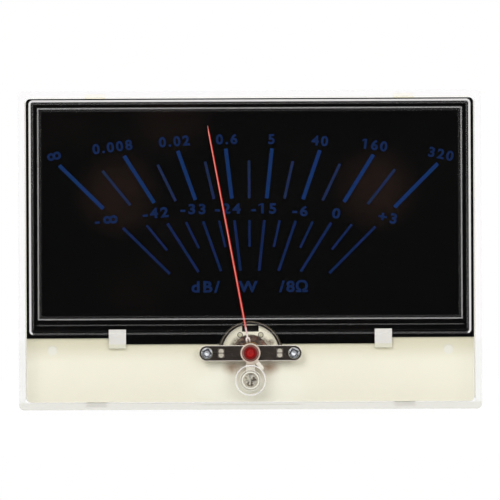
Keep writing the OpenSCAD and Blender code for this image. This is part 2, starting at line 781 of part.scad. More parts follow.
module zero_lever() {
    fork_z = -(adjuster_drop + pin_offset);
    crank_top = -(bridge_w / 2 + 0.3);
    crank_foot = crank_top - 0.6;
    color([0.86, 0.86, 0.84]) at_pivot() {
        slab(lever_s, lever_s + lever_t) difference() {
            union() {
                circle(lever_hub_r);
                rectangle(-lever_w / 2, crank_foot, lever_w / 2, 0);
                rotate(anchor_angle) {
                    rectangle(-lever_arm_w / 2, lever_arm_w / 2 - lever_arm_l, lever_arm_w / 2,
                              -lever_hub_r / 2);
                    translate([0, lever_arm_w / 2 - lever_arm_l]) circle(lever_arm_w / 2);
                }
            }
            circle(bearing_r + run_gap);
        }
        // Step back to the plane of the drive pin
        slab(lever_s, crank_s + lever_t)
            rectangle(-lever_w / 2, crank_foot, lever_w / 2, crank_top);
        // Fork round the drive pin
        slab(crank_s, crank_s + lever_t) difference() {
            rectangle(-lever_w / 2, fork_z - fork_l, lever_w / 2, crank_top);
            rectangle(-pin_r - thin_gap, fork_z - fork_l - cut, pin_r + thin_gap,
                      fork_z + pin_r + 4 * thin_gap);
        }
        // Tab that holds the outer end of the front hairspring
        slab(lever_s, spring_s + spring_h) rotate(anchor_angle)
            rectangle(-anchor_w / 2, -anchor_r - anchor_t, anchor_w / 2, -anchor_r);
    }
}

// Slot in the frame's ring, and the dark pocket behind it
module ring_slot(s0, s1) {
    block([-frame_slot_w / 2, s0, frame_slot_z],
          [frame_slot_w / 2, s1, frame_slot_z + frame_slot_h]);
}

// Draws its children at the four rivets
module at_rivets() {
    for (a = [-rivet_angle, rivet_angle, 180 - rivet_angle, 180 + rivet_angle])
        rotate([0, a, 0]) translate([0, 0, rivet_orbit]) children();
}

module yoke_cup() {
    color([0.62, 0.62, 0.62]) at_pivot() difference() {
        rod(cup_r, rim_s, rear_in_s);
        rod(cup_r - cup_wall, rim_s - cut, seat_s);
        rod(gap_bore_r, seat_s - cut, cup_floor_s);
        rod(rear_screw_r, cup_floor_s - cut, rear_in_s + cut);
        ring_slot(seat_s - cut, seat_s + slot_pocket);
        at_rivets() rod(rivet_r, seat_s - cut, seat_s + rivet_l);
    }
}

module movement_frame() {
    color([0.9, 0.87, 0.78]) at_pivot() difference() {
        union() {
            rod(frame_r, frame_s, seat_s);
            // Posts that carry the bridge, with pegs staked over it
            for (flip = [0, 1]) mirror([flip, 0, 0]) {
                block([post_in_x, bridge_back_s, -post_h / 2], [post_out_x, rim_s, post_h / 2]);
                intersection() {
                    rod(frame_r, rim_s, seat_s);
                    block([post_in_x, rim_s, -post_h / 2], [post_out_x, seat_s, post_h / 2]);
                }
                block([peg_x - peg_w / 2, bridge_s, -peg_h / 2],
                      [peg_x + peg_w / 2, bridge_back_s, peg_h / 2]);
                block([peg_x - peg_head_w / 2, bridge_s - peg_head_t, -peg_head_h / 2],
                      [peg_x + peg_head_w / 2, bridge_s, peg_head_h / 2]);
            }
            // Ribs that grip the core above and below
            for (side = [0, 180]) rotate([0, side, 0]) {
                block([-rib_w / 2, frame_s, rib_in_front], [rib_w / 2, core_back_s, frame_hole_r]);
                block([-rib_w / 2, core_s, core_r / 2], [rib_w / 2, core_back_s, frame_hole_r]);
            }
        }
        difference() {
            rod(frame_hole_r, frame_s - cut, seat_s + cut);
            for (side = [0, 180]) rotate([0, side, 0])
                block([-rib_w / 2, frame_s - 2 * cut, rib_in_front],
                      [rib_w / 2, seat_s + 2 * cut, 2 * frame_hole_r]);
        }
        rod(core_r, core_s - cut, core_back_s + cut);
        ring_slot(frame_s - cut, seat_s + cut);
        at_rivets() rod(rivet_r, frame_s - cut, seat_s + cut);
        for (a = [-stop_angle, stop_angle]) rotate([0, a, 0])
            rod(stop_r, frame_s - cut, seat_s + cut, 0, -stop_orbit);
        // Groove across each staked head
        both_sides(peg_x)
            block([-peg_head_w, bridge_s - peg_head_t - cut, -0.15],
                  [peg_head_w, bridge_s - peg_head_t + 0.25, 0.15]);
    }
}

module frame_rivets() {
    color([0.75, 0.7, 0.55]) at_pivot() at_rivets() {
        rod(1.5 * rivet_r, frame_s - 0.15, frame_s);
        rod(rivet_r, frame_s, seat_s + rivet_l);
    }
}

module stop_pins() {
    color([0.75, 0.68, 0.42]) at_pivot() for (a = [-stop_angle, stop_angle])
        rotate([0, a, 0]) rod(stop_r, arm_s, seat_s, 0, -stop_orbit);
}

module core_magnet() {
    color([0.35, 0.35, 0.37]) at_pivot() rod(core_r, core_s, core_back_s);
}

module rear_bearing_screw() {
    color([0.72, 0.6, 0.3]) at_pivot() difference() {
        rod(rear_screw_r, rear_tip_s, rear_in_s + lock_nut_t + 0.4);
        rod(jewel_r, rear_tip_s - cut, rear_tip_s + jewel_t);
        block([-2 * rear_screw_r, rear_in_s + lock_nut_t - 0.2, -0.25],
              [2 * rear_screw_r, rear_in_s + lock_nut_t + cut, 0.25]);
    }
}

module rear_lock_nut() {
    color([0.72, 0.6, 0.3]) at_pivot() difference() {
        translate([0, rear_in_s + lock_nut_t, 0]) rotate([90, 0, 0])
            cylinder(r = lock_nut_r, h = lock_nut_t, $fn = 6);
        rod(rear_screw_r, rear_in_s - cut, rear_in_s + lock_nut_t + cut);
    }
}

module rear_spring_anchor() {
    color([0.75, 0.68, 0.42]) at_pivot() rotate([0, anchor_angle, 0])
        block([-anchor_w / 2, rear_spring_s, -anchor_r - anchor_t],
              [anchor_w / 2, cup_floor_s, -anchor_r]);
}

// Closed frame round the core, with its outside grown by t beyond the former's inside
module coil_loop(inner, outer) {
    difference() {
        block([-coil_x - outer, core_s - coil_end_gap - outer, -coil_half_w],
              [coil_x + outer, core_back_s + coil_end_gap + outer, coil_half_w]);
        block([-coil_x - inner, core_s - coil_end_gap - inner, -2 * coil_half_w],
              [coil_x + inner, core_back_s + coil_end_gap + inner, 2 * coil_half_w]);
    }
}

module coil_former() {
    color([0.8, 0.8, 0.8]) swung() coil_loop(0, former_t);
}

module coil_winding() {
    color([0.55, 0.27, 0.12]) swung() coil_loop(former_t, former_t + winding_t);
}

module front_staff() {
    color([0.6, 0.6, 0.62]) swung() {
        rod(foot_r, winding_s - 0.3, winding_s);
        rod(staff_r, bearing_tip_s + run_gap, winding_s - 0.3);
        rod(collet_r, spring_s - run_gap, spring_s + spring_h + run_gap);
        rod(pivot_r, bearing_tip_s - jewel_t + 2 * thin_gap, bearing_tip_s + run_gap);
    }
}

module rear_staff() {
    color([0.6, 0.6, 0.62]) swung() {
        rod(foot_r, winding_back_s, rear_foot_s);
        rod(staff_r, rear_foot_s, rear_tip_s - run_gap);
        rod(collet_r, rear_spring_s - run_gap, rear_spring_s + spring_h + run_gap);
        rod(pivot_r, rear_tip_s - run_gap, rear_tip_s + jewel_t - 2 * thin_gap);
    }
}

// Points of a flat spiral that ends at the anchor; hand is 1 or -1
function spiral_angle(i) = 360 * i / turn_points;
function spiral_radius(i) = spring_in_r + spring_pitch * i / turn_points;
spiral_count = round(spring_turns * turn_points);
function spiral_point(i, hand, grow) =
    let (a = -90 - hand * anchor_angle + hand * (spiral_angle(i) - spiral_angle(spiral_count)))
    let (r = spiral_radius(i) + grow)
    [r * cos(a), r * sin(a)];

// Least gap between two turns of a hairspring, measured on its points
spiral_gap = min([for (i = [0 : spiral_count - turn_points])
    norm(spiral_point(i + turn_points, 1, 0) - spiral_point(i, 1, 0))]) - spring_t;
echo(least_hairspring_gap = spiral_gap);

// Flat spiral strip from depth s0, as one closed tube of four sides
module hairspring(s0, hand) {
    rings = [for (i = [0 : spiral_count])
        let (inner = spiral_point(i, hand, -spring_t / 2), outer = spiral_point(i, hand, spring_t / 2))
        [[inner[0], s0, inner[1]], [outer[0], s0, outer[1]],
         [outer[0], s0 + spring_h, outer[1]], [inner[0], s0 + spring_h, inner[1]]]];
    sides = [for (i = [0 : spiral_count - 1], k = [0 : 3])
        let (a = 4 * i + k, b = 4 * i + (k + 1) % 4)
        each [[a, b, b + 4], [a, b + 4, a + 4]]];
    last = 4 * spiral_count;
    ends = [[0, 2, 1], [0, 3, 2], [last, last + 1, last + 2], [last, last + 2, last + 3]];
    faces = concat(sides, ends);
    polyhedron([for (ring = rings, p = ring) p],
               hand > 0 ? faces : [for (f = faces) [f[2], f[1], f[0]]]);
}

module front_hairspring() {
    color([0.72, 0.55, 0.3]) at_pivot() hairspring(spring_s, -1);
}

module rear_hairspring() {
    color([0.72, 0.55, 0.3]) at_pivot() hairspring(rear_spring_s, 1);
}

module pointer_holder() {
    color([0.88, 0.87, 0.85]) swung() difference() {
        union() {
            rod(1, holder_s, dial_s - 2 * thin_gap);
            slab(holder_s, holder_s + holder_t) {
                rectangle(-holder_w / 2, 0, holder_w / 2, holder_l - holder_w / 2);
                translate([0, holder_l - holder_w / 2]) circle(holder_w / 2);
            }
        }
        rod(staff_r, holder_s - cut, dial_s + cut);
    }
}

module pointer() {
    color([0.85, 0.28, 0.2]) swung() slab(needle_s, needle_s + needle_t)
        polygon([[-needle_root_w / 2, needle_root], [needle_root_w / 2, needle_root],
                 [needle_tip_w / 2, needle_l - needle_tip_w], [0, needle_l],
                 [-needle_tip_w / 2, needle_l - needle_tip_w]]);
}

// Balance arms, grown by a gap so that they can also cut the weights
module balance_arms() {
    block([-arm_w / 2, arm_s, -tail_l], [arm_w / 2, arm_s + arm_t, 0]);
    block([-side_arm_l, arm_s, -arm_w / 2], [side_arm_l, arm_s + arm_t, arm_w / 2]);
}

module balance_cross() {
    color([0.75, 0.75, 0.76]) swung() difference() {
        union() {
            rod(1, arm_s, arm_s + arm_t);
            balance_arms();
        }
        rod(staff_r, arm_s - cut, arm_s + arm_t + cut);
    }
}

module balance_weights() {
    color([0.76, 0.6, 0.32]) swung() difference() {
        mid_s = arm_s + arm_t / 2;
        union() {
            block([-tail_weight_w / 2, mid_s - side_weight_r, -tail_weight_end],
                  [tail_weight_w / 2, mid_s + side_weight_r, tail_weight_l - tail_weight_end]);
            for (side = [-1, 1])
                translate([side * (side_arm_l - 0.2 - side_weight_l / 2), mid_s, 0])
                    rotate([0, 90, 0])
                        cylinder(r = side_weight_r, h = side_weight_l, center = true);
        }
        balance_arms();
    }
}

// Pin with a collar on each side of the rear wall
module signal_pin() {
    rod(signal_r, rear_in_s - strip_t, total_depth, 0, signal_z);
    rod(2 * signal_r, case_back_s, case_back_s + collar_t, 0, signal_z);
}

module signal_terminals() {
    color([0.83, 0.75, 0.5]) in_depth() {
        low_z = signal_z - strip_w / 2;
        high_z = pivot_z + strip_w / 2;
        back_s = rear_in_s - strip_t;
        // Left strip runs forward to the end of the left bridge screw
        translate([-signal_x, 0, 0]) signal_pin();
        block([-signal_x - strip_lap, back_s, low_z], [-strip_x + strip_t, rear_in_s, high_z]);
        block([-strip_x, panel_back_s, pivot_z - strip_w / 2], [-strip_x + strip_t, rear_in_s, high_z]);
        difference() {
            block([-strip_x, panel_back_s, pivot_z - strip_w / 2],
                  [-bridge_screw_x + bridge_screw_r + 0.5, panel_back_s + strip_t, high_z]);
            rod(bridge_screw_r, panel_back_s - cut, panel_back_s + strip_t + cut,
                -bridge_screw_x, pivot_z);
        }
        // Right strip ends in a finger that presses on the cup
        translate([signal_x, 0, 0]) signal_pin();
        block([strip_x, back_s, low_z], [signal_x + strip_lap, rear_in_s, high_z]);
        difference() {
            block([cup_r / 2, back_s, pivot_z - strip_w / 2], [strip_x + 1, rear_in_s, high_z]);
            rod(cup_r, back_s - cut, rear_in_s + cut, 0, pivot_z);
        }
    }
}

module lamp_board() {
    color([0.9, 0.9, 0.86]) in_depth() difference() {
        slab(case_back_s, board_back_s)
            rectangle(-board_w / 2, lamp_z - board_h / 2, board_w / 2, lamp_z + board_h / 2);
        both_sides(board_screw_x)
            rod(board_screw_r + thin_gap, case_back_s - cut, board_back_s + cut, 0, lamp_z);
        both_sides(lamp_pin_pitch / 2)
            rod(lamp_root_r, case_back_s + 0.4, board_back_s + cut, 0, lamp_z);
    }
}

module lamps() {
    color([0.9, 0.93, 0.98]) in_depth() for (x = lamp_xs) translate([x, 0, lamp_z]) {
        rod(lamp_r, case_back_s - lamp_l + lamp_r, case_back_s);
        translate([0, case_back_s - lamp_l + lamp_r, 0]) sphere(lamp_r);
    }
}

module lamp_resistors() {
    color([0.12, 0.12, 0.13]) in_depth() for (share = [-0.8, 0.4, 0.8])
        translate([share * lamp_pitch, 0, lamp_z])
            block([-resistor_l / 2, board_back_s, -resistor_w / 2],
                  [resistor_l / 2, board_back_s + resistor_t, resistor_w / 2]);
}

module lamp_terminals() {
    color([0.8, 0.8, 0.78]) in_depth() both_sides(lamp_pin_pitch / 2) {
        rod(lamp_root_r, case_back_s + 0.4, board_back_s, 0, lamp_z);
        rod(lamp_pin_r, board_back_s, board_back_s + lamp_pin_l, 0, lamp_z);
        rod(2 * lamp_pin_r, board_back_s, board_back_s + collar_t, 0, lamp_z);
    }
}

module lamp_board_screws() {
    head_s = board_back_s + 0.8 * board_screw_r;
    color([0.75, 0.76, 0.78]) in_depth() both_sides(board_screw_x)
        translate([0, 0, lamp_z]) difference() {
            union() {
                rod(board_screw_r, rear_in_s - 0.5 * board_boss_l, board_back_s);
                rod(1.9 * board_screw_r, board_back_s, head_s);
            }
            cross_recess(1.9 * board_screw_r, head_s - 0.4 * board_screw_r, head_s + cut);
        }
}

front_cover();
rear_case();
front_panel();
dial_plate();
scale_print();
dial_clips();
light_diffuser();
bridge();
bridge_screws();
front_bearing_screw();
front_jewel();
zero_adjuster();
zero_lever();
yoke_cup();
movement_frame();
frame_rivets();
stop_pins();
core_magnet();
rear_bearing_screw();
rear_jewel();
rear_lock_nut();
rear_spring_anchor();
coil_former();
coil_winding();
front_staff();
rear_staff();
front_hairspring();
rear_hairspring();
pointer_holder();
pointer();
balance_cross();
balance_weights();
signal_terminals();
lamp_board();
lamps();
lamp_resistors();
lamp_terminals();
lamp_board_screws();
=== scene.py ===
"""Panel meter with a swinging needle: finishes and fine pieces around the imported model.

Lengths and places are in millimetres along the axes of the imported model: x across, y into the
depth and z up from the base. Only calls of Blender and of the frame take metres.
"""

import json
import logging
import math
from collections.abc import Callable, Iterable, Mapping, Sequence
from dataclasses import dataclass, field
from enum import Enum
from functools import cached_property
from typing import Any, Union

import bmesh
import bpy
from mathutils import Matrix, Quaternion, Vector


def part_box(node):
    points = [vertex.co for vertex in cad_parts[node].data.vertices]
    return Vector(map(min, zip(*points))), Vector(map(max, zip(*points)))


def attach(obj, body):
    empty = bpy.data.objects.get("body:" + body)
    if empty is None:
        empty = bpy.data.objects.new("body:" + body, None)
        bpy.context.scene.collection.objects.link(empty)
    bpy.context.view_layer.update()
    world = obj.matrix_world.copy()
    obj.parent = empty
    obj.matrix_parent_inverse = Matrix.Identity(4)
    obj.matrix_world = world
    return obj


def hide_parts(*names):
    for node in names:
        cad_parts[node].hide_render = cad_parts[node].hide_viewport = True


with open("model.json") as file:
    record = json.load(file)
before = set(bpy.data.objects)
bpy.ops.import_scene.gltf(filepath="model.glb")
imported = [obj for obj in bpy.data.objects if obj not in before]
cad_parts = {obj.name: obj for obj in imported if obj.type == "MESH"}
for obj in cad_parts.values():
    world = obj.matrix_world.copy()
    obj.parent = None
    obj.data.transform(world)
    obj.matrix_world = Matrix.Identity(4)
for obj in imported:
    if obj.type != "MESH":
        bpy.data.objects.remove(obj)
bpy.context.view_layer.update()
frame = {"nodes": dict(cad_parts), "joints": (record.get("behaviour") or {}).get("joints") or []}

log = logging.getLogger("meter")

Color = tuple[float, float, float]
Point = tuple[float, float]
Number = Union["Signal", float]
Tint = Union["Signal", Color]
Ring = list[bmesh.types.BMVert]
Sockets = Mapping[str | int, Any]

MM = 0.001  # metres
SWING = next(joint["pos_m"] for joint in frame["joints"] if joint["name"] == "pointer_swing")
AXIS = Vector((SWING[0], 0, SWING[2])) / MM  # the needle's axis at depth 0
LEAN = math.radians(10.5)  # lean of the needle to the left
MARK_STEP = 12.89  # degrees between long marks
MARK_ARC = 320.0  # radius of the flat arcs between which the marks lie


def srgb(*levels: int) -> Color:
    """Linear colour, which shaders take, of a screen colour with parts from 0 to 255."""
    shares = (level / 255 for level in levels)
    return tuple(s / 12.92 if s <= 0.04045 else ((s + 0.055) / 1.055) ** 2.4 for s in shares)


def box(node: str) -> list[Vector]:
    """Lowest and highest corner of a CAD node."""
    return [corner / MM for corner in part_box(node)]


def put(name: str, data: bpy.types.ID) -> bpy.types.Object:
    """Adds an object to the scene.

    Args:
        name: Name of the object.
        data: Its mesh, text, lamp or camera.

    Returns:
        The object.
    """
    made = bpy.data.objects.new(name, data)
    bpy.context.scene.collection.objects.link(made)
    return made


class Body(Enum):
    """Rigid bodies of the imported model."""

    CASE = "root"
    COIL = "moving_coil"


# The Math node operations that the shaders use.
Op = Enum("Op", "ADD SUBTRACT MULTIPLY DIVIDE MAXIMUM MINIMUM ABSOLUTE SQRT SINE FRACT ARCTAN2")


def adding(op: Op, step: int = 1) -> Callable[..., "Signal"]:
    """Method that adds a Math node; with a step of -1 the signal is its second value."""
    return lambda *values: values[0].graph.math(op, *values[::step])


@dataclass(frozen=True)
class Signal:
    """An output socket of a shader. On numbers, Python's operators add Math nodes."""

    graph: "Graph"
    socket: bpy.types.NodeSocket

    __add__ = __radd__ = adding(Op.ADD)
    __sub__ = adding(Op.SUBTRACT)
    __rsub__ = adding(Op.SUBTRACT, -1)
    __mul__ = __rmul__ = adding(Op.MULTIPLY)
    __truediv__ = adding(Op.DIVIDE)
    __abs__ = adding(Op.ABSOLUTE)
    at_least = adding(Op.MAXIMUM)
    at_most = adding(Op.MINIMUM)
    root = adding(Op.SQRT)
    fract = adding(Op.FRACT)
    sine = adding(Op.SINE)

    def hypot(self, other: "Signal") -> "Signal":
        """Length of the diagonal of two lengths."""
        return (self * self + other * other).root()

    def rise(self, low: float, high: float) -> "Signal":
        """Eases from 0 at low to 1 at high, which may be the smaller one."""
        sockets = {"Value": self, "From Min": low, "From Max": high}
        return self.graph.signal("MapRange", sockets, interpolation_type="SMOOTHSTEP")

    def band(self, middle: float, half: float, soft: float) -> "Signal":
        """1 within half of the middle, easing to 0 over the soft edge."""
        return abs(self - middle).rise(half + soft / 2, half - soft / 2)


class Graph:
    """Node tree of one material or of the world."""

    owner: bpy.types.Material | bpy.types.World

    @cached_property
    def tree(self) -> bpy.types.NodeTree:
        """The owner's node tree, which starts out empty."""
        self.owner.use_nodes = True
        self.owner.node_tree.nodes.clear()
        return self.owner.node_tree

    def make(self, kind: str, sockets: Sockets, **settings: Any) -> bpy.types.Node:
        """Adds a node.

        Args:
            kind: The node's type, without the word that all of them start with.
            sockets: Values or links of its input sockets.
            settings: Its settings, which are set first.

        Returns:
            The node.
        """
        node = self.tree.nodes.new(f"ShaderNode{kind}")
        for name, value in settings.items():
            setattr(node, name, value)
        for key, value in sockets.items():
            socket = node.inputs[key]
            if isinstance(value, Signal):
                self.tree.links.new(value.socket, socket)
            else:
                socket.default_value = (*value, 1.0) if socket.type == "RGBA" else value
        return node

    def signal(self, kind: str, sockets: Sockets, out: str | int = 0, **settings: Any) -> Signal:
        """Adds a node and gives one of its outputs."""
        return Signal(self, self.make(kind, sockets, **settings).outputs[out])

    def math(self, op: Op, *values: Number) -> Signal:
        """Adds a Math node."""
        return self.signal("Math", dict(enumerate(values)), operation=op.name)

    def times(self, vector: Signal, by: Signal | Sequence[float]) -> Signal:
        """Multiplies a vector or a colour by another, part by part."""
        return self.signal("VectorMath", {0: vector, 1: by}, operation="MULTIPLY")

    @cached_property
    def place(self) -> Signal:
        """Place on the object at rest."""
        return self.times(self.signal("TexCoord", {}, "Object"), 3 * (1 / MM,))

    @cached_property
    def axes(self) -> list[Signal]:
        """The three parts of that place."""
        return [self.signal("SeparateXYZ", {0: self.place}, part) for part in "XYZ"]

    @cached_property
    def radius(self) -> Signal:
        """Distance from the needle's axis."""
        return self.away(AXIS.x, AXIS.z)

    @property
    def rays(self) -> list[Signal]:
        """1 for rays from the camera, for mirrored rays and for those through clear pieces."""
        kinds = ("Camera", "Glossy", "Transmission")
        return [self.signal("LightPath", {}, f"Is {kind} Ray") for kind in kinds]

    def away(self, x: float, z: float, wide: float = 1.0, high: float = 1.0) -> Signal:
        """Distance from an axis along the depth, in half widths and half heights of an oval."""
        return ((self.axes[0] - x) / wide).hypot((self.axes[2] - z) / high)

    def pair(self, x: float, z: float) -> Signal:
        """Distance from the nearer of two such axes, one on each side of the middle."""
        return (abs(self.axes[0]) - x).hypot(self.axes[2] - z)

    def noise(
        self, size: float, detail: float = 3.0, stretch: Sequence[float] = (1.0, 1.0, 1.0)
    ) -> Signal:
        """Noise around 0.5, by a feature's size, its finer octaves and its stretch on the axes."""
        vector = self.times(self.place, [1 / share for share in stretch])
        return self.signal("TexNoise", {"Vector": vector, "Scale": 1 / size, "Detail": detail})

    def paint(self, base: Tint, *coats: tuple[Number, Tint]) -> Tint:
        """Lays colours over one another.

        Args:
            base: The lowest colour.
            coats: How much each further colour covers, and the colour.

        Returns:
            The colour that shows.
        """
        for share, color in coats:
            base = self.signal("Mix", {0: share, 6: base, 7: color}, 2, data_type="RGBA")
        return base

    def bump(self, height: Signal, depth: float, edge: float = 0.0) -> Signal:
        """Raises a surface.

        Args:
            height: Height as a share.
            depth: Height where the share is 1.
            edge: Radius to which the piece's edges look rounded.

        Returns:
            The normal.
        """
        sockets = {"Height": height, "Distance": depth * MM, "Strength": 1.0}
        if edge:
            sockets["Normal"] = self.signal("Bevel", {"Radius": edge * MM}, samples=6)
        return self.signal("Bump", sockets)

    def principled(self, **values: Any) -> Signal:
        """Adds a Principled shader; underscores in names stand for spaces."""
        sockets = {name.replace("_", " "): value for name, value in values.items()}
        return self.signal("BsdfPrincipled", sockets)

    def blend(self, share: Number, first: Signal, second: Signal) -> Signal:
        """Mixes two shaders by the share of the second one."""
        return self.signal("MixShader", {0: share, 1: first, 2: second})

    def glass(self, tint: Color, index: float, rough: float) -> Signal:
        """Clear plastic without bending of light, glossy where a ray enters it.

        Args:
            tint: Colour of the light that passes one surface.
            index: Refractive index that sets the gloss.
            rough: Roughness of the gloss.

        Returns:
            The shader.
        """
        clear = self.signal("BsdfTransparent", {"Color": tint})
        gloss = self.signal("BsdfAnisotropic", {"Color": (1, 1, 1), "Roughness": rough})
        entering = 1.0 - self.signal("NewGeometry", {}, "Backfacing")
        return self.blend(self.signal("Fresnel", {"IOR": index}) * entering, clear, gloss)


@dataclass(frozen=True)
class Finish(Graph):
    """A surface finish, which makes one material.

    Attributes:
        name: Name of the material.
        slot: Material slot of the record that it belongs to; not used.
    """

    name: str
    slot: str

    @cached_property
    def owner(self) -> bpy.types.Material:
        """The material, still without its shader."""
        return bpy.data.materials.new(f"finish_{self.name}")

    @property
    def surface(self) -> Signal:
        """The shader; each finish has its own."""
        raise NotImplementedError

    @cached_property
    def material(self) -> bpy.types.Material:
        """The material with its shader."""
        self.make("OutputMaterial", {0: self.surface})
        return self.owner


@dataclass(frozen=True)
class Plastic(Finish):
    """Moulded or printed plastic with a fine grain."""

    color: Color
    rough: float = 0.5
    grain: float = 0.012  # depth of the moulded grain
    grain_size: float = 0.28
    mottle: float = 0.05  # how far the colour drifts over the piece
    edge: float = 0.12  # radius of the moulded edges
    coat: float = 0.0  # weight of a clear gloss

    @property
    def tint(self) -> Tint:
        """Colour with a soft drift and fine specks."""
        drift = (self.noise(14.0, 2.0) - 0.5) * (2 * self.mottle)
        scatter = self.signal("TexVoronoi", {"Vector": self.place, "Scale": 1 / 0.9})
        speck = scatter.rise(0.16, 0.05) * (0.5 * self.mottle)
        share = (0.5 * self.mottle + drift + speck).at_least(0.0).at_most(1.0)
        return self.paint(self.color, (share, tuple(0.72 * part for part in self.color)))

    @property
    def surface(self) -> Signal:
        """Shader of the plastic."""
        return self.principled(
            Base_Color=self.tint,
            Roughness=(self.rough - 0.05) + self.noise(3.5, 2.0) * 0.1,
            Normal=self.bump(self.noise(self.grain_size), self.grain, self.edge),
            Coat_Weight=self.coat,
            Coat_Roughness=0.08,
            IOR=1.49,
        )


@dataclass(frozen=True)
class PanelPlastic(Plastic):
    """Cream front panel with painted shade where the dark movement behind it shows a little
    through the plastic, painted shade under the dial and a painted pool of light low in its
    middle.
    """

    shades: tuple[tuple[float, ...], ...] = (  # painted shade spots: place from the axis, half sizes and share
        (0.3, -5.0, 9.8, 7.0, 0.45),
        (-5.6, -4.1, 3.8, 3.0, 0.6),
        (5.8, -4.2, 3.8, 3.0, 0.6),
    )
    post: Point = (57.5, 17.1)  # distance from the middle and height of the two round marks

    @property
    def tint(self) -> Tint:
        """Cream with painted shade from the movement and under the dial, a painted pool of light,
        and the pale marks of the posts.
        """
        z = self.axes[2]
        # painted pool of light low in the panel's middle, making up for shadows cast on it
        light = self.away(0.0, 6.0, 26.0, 11.0).rise(1.0, 0.0).rise(0.0, 0.6) * 0.4
        # painted shade of the dark movement behind the panel, in three soft, ragged spots
        dark = 0.0
        for x, up, wide, high, share in self.shades:
            dark += self.away(x, AXIS.z + up, wide, high).rise(1.0, 0.0) * share
        dark = (dark * (0.75 + 0.5 * self.noise(1.1))).at_most(0.85)
        shaded = self.paint(
            super().tint, (light, (0.985, 0.975, 0.87)), (dark, srgb(140, 100, 62))
        )
        # painted shade under the dial's lower edge: darker and yellower towards the top
        dial_shade = self.paint((1, 1, 1), (z.rise(13.0, 20.0), (0.8, 0.785, 0.7)))
        mark = self.pair(*self.post)
        ring = abs(mark - 1.45).rise(0.35, 0.0) * (z - self.post[1]).rise(-0.5, 1.2) * 0.25
        pale = mark.rise(1.6, 1.1) * 0.4
        return self.paint(self.times(shaded, dial_shade), (pale, 3 * (0.86,)), (ring, 3 * (0.5,)))


@dataclass(frozen=True)
class ClipPlastic(Plastic):
    """White clips whose tails match the cream under the dial."""

    low: float = 18.95  # height under which a tail starts

    @property
    def tint(self) -> Tint:
        """White, with cream tails."""
        tail = self.axes[2].rise(self.low + 0.1, self.low - 0.1)
        return self.paint(super().tint, (tail, srgb(222, 220, 201)))


@dataclass(frozen=True)
class FramePlastic(Plastic):
    """Pale frame of the movement, darker brown near the coil's opening, with painted shade at its
    rivets and in its slot, and with two staked pegs.
    """

    peg: float = 8.5  # distance of the pegs from the middle
    rivet: Point = (3.0, 5.2)  # distance of the upper rivets from the middle and above the axis

    @property
    def tint(self) -> Tint:
        """Pale plastic, darker brown near the coil's opening, with painted shade at the rivets and
        in the slot, and the pegs' two lobes.
        """
        x, y, z = self.axes
        up = z - AXIS.z
        ragged = self.noise(0.9).rise(0.25, 0.7)
        # darker brown at the sides of the coil's opening, round its inner edge and in a patch to
        # the right
        outer = self.radius.rise(6.9, 5.6) * up.rise(5.4, 3.6) * (0.35 + ragged * 0.6)
        inner = self.radius.rise(5.6, 5.1) * (0.5 + ragged * 0.45)
        patch = self.away(5.7, AXIS.z + 3.0, 1.7, 1.3).rise(1.0, 0.3) * (0.3 + ragged * 0.6)
        # painted shade: a dark ring at the rim of each upper rivet
        rivets = self.pair(self.rivet[0], AXIS.z + self.rivet[1]).band(0.7, 0.14, 0.2) * 0.85
        # painted shade: near-black in the slot above the coil
        slot = up.rise(6.1, 6.2) * up.rise(7.6, 7.4) * abs(x).rise(2.45, 2.35)
        pegs = y.rise(-8.0, -9.0)
        lobes = (abs(x) - self.peg).hypot(abs(up) - 0.55).rise(0.62, 0.82)
        waist = abs(up).rise(0.22, 0.08) * 0.6
        return self.paint(
            super().tint,
            (outer.at_least(inner).at_least(patch), srgb(96, 76, 60)),
            (rivets, srgb(58, 50, 34)),
            (slot, srgb(5, 3, 3)),
            (pegs, srgb(188, 181, 166)),
            (lobes.at_least(waist) * pegs, srgb(84, 74, 66)),
        )


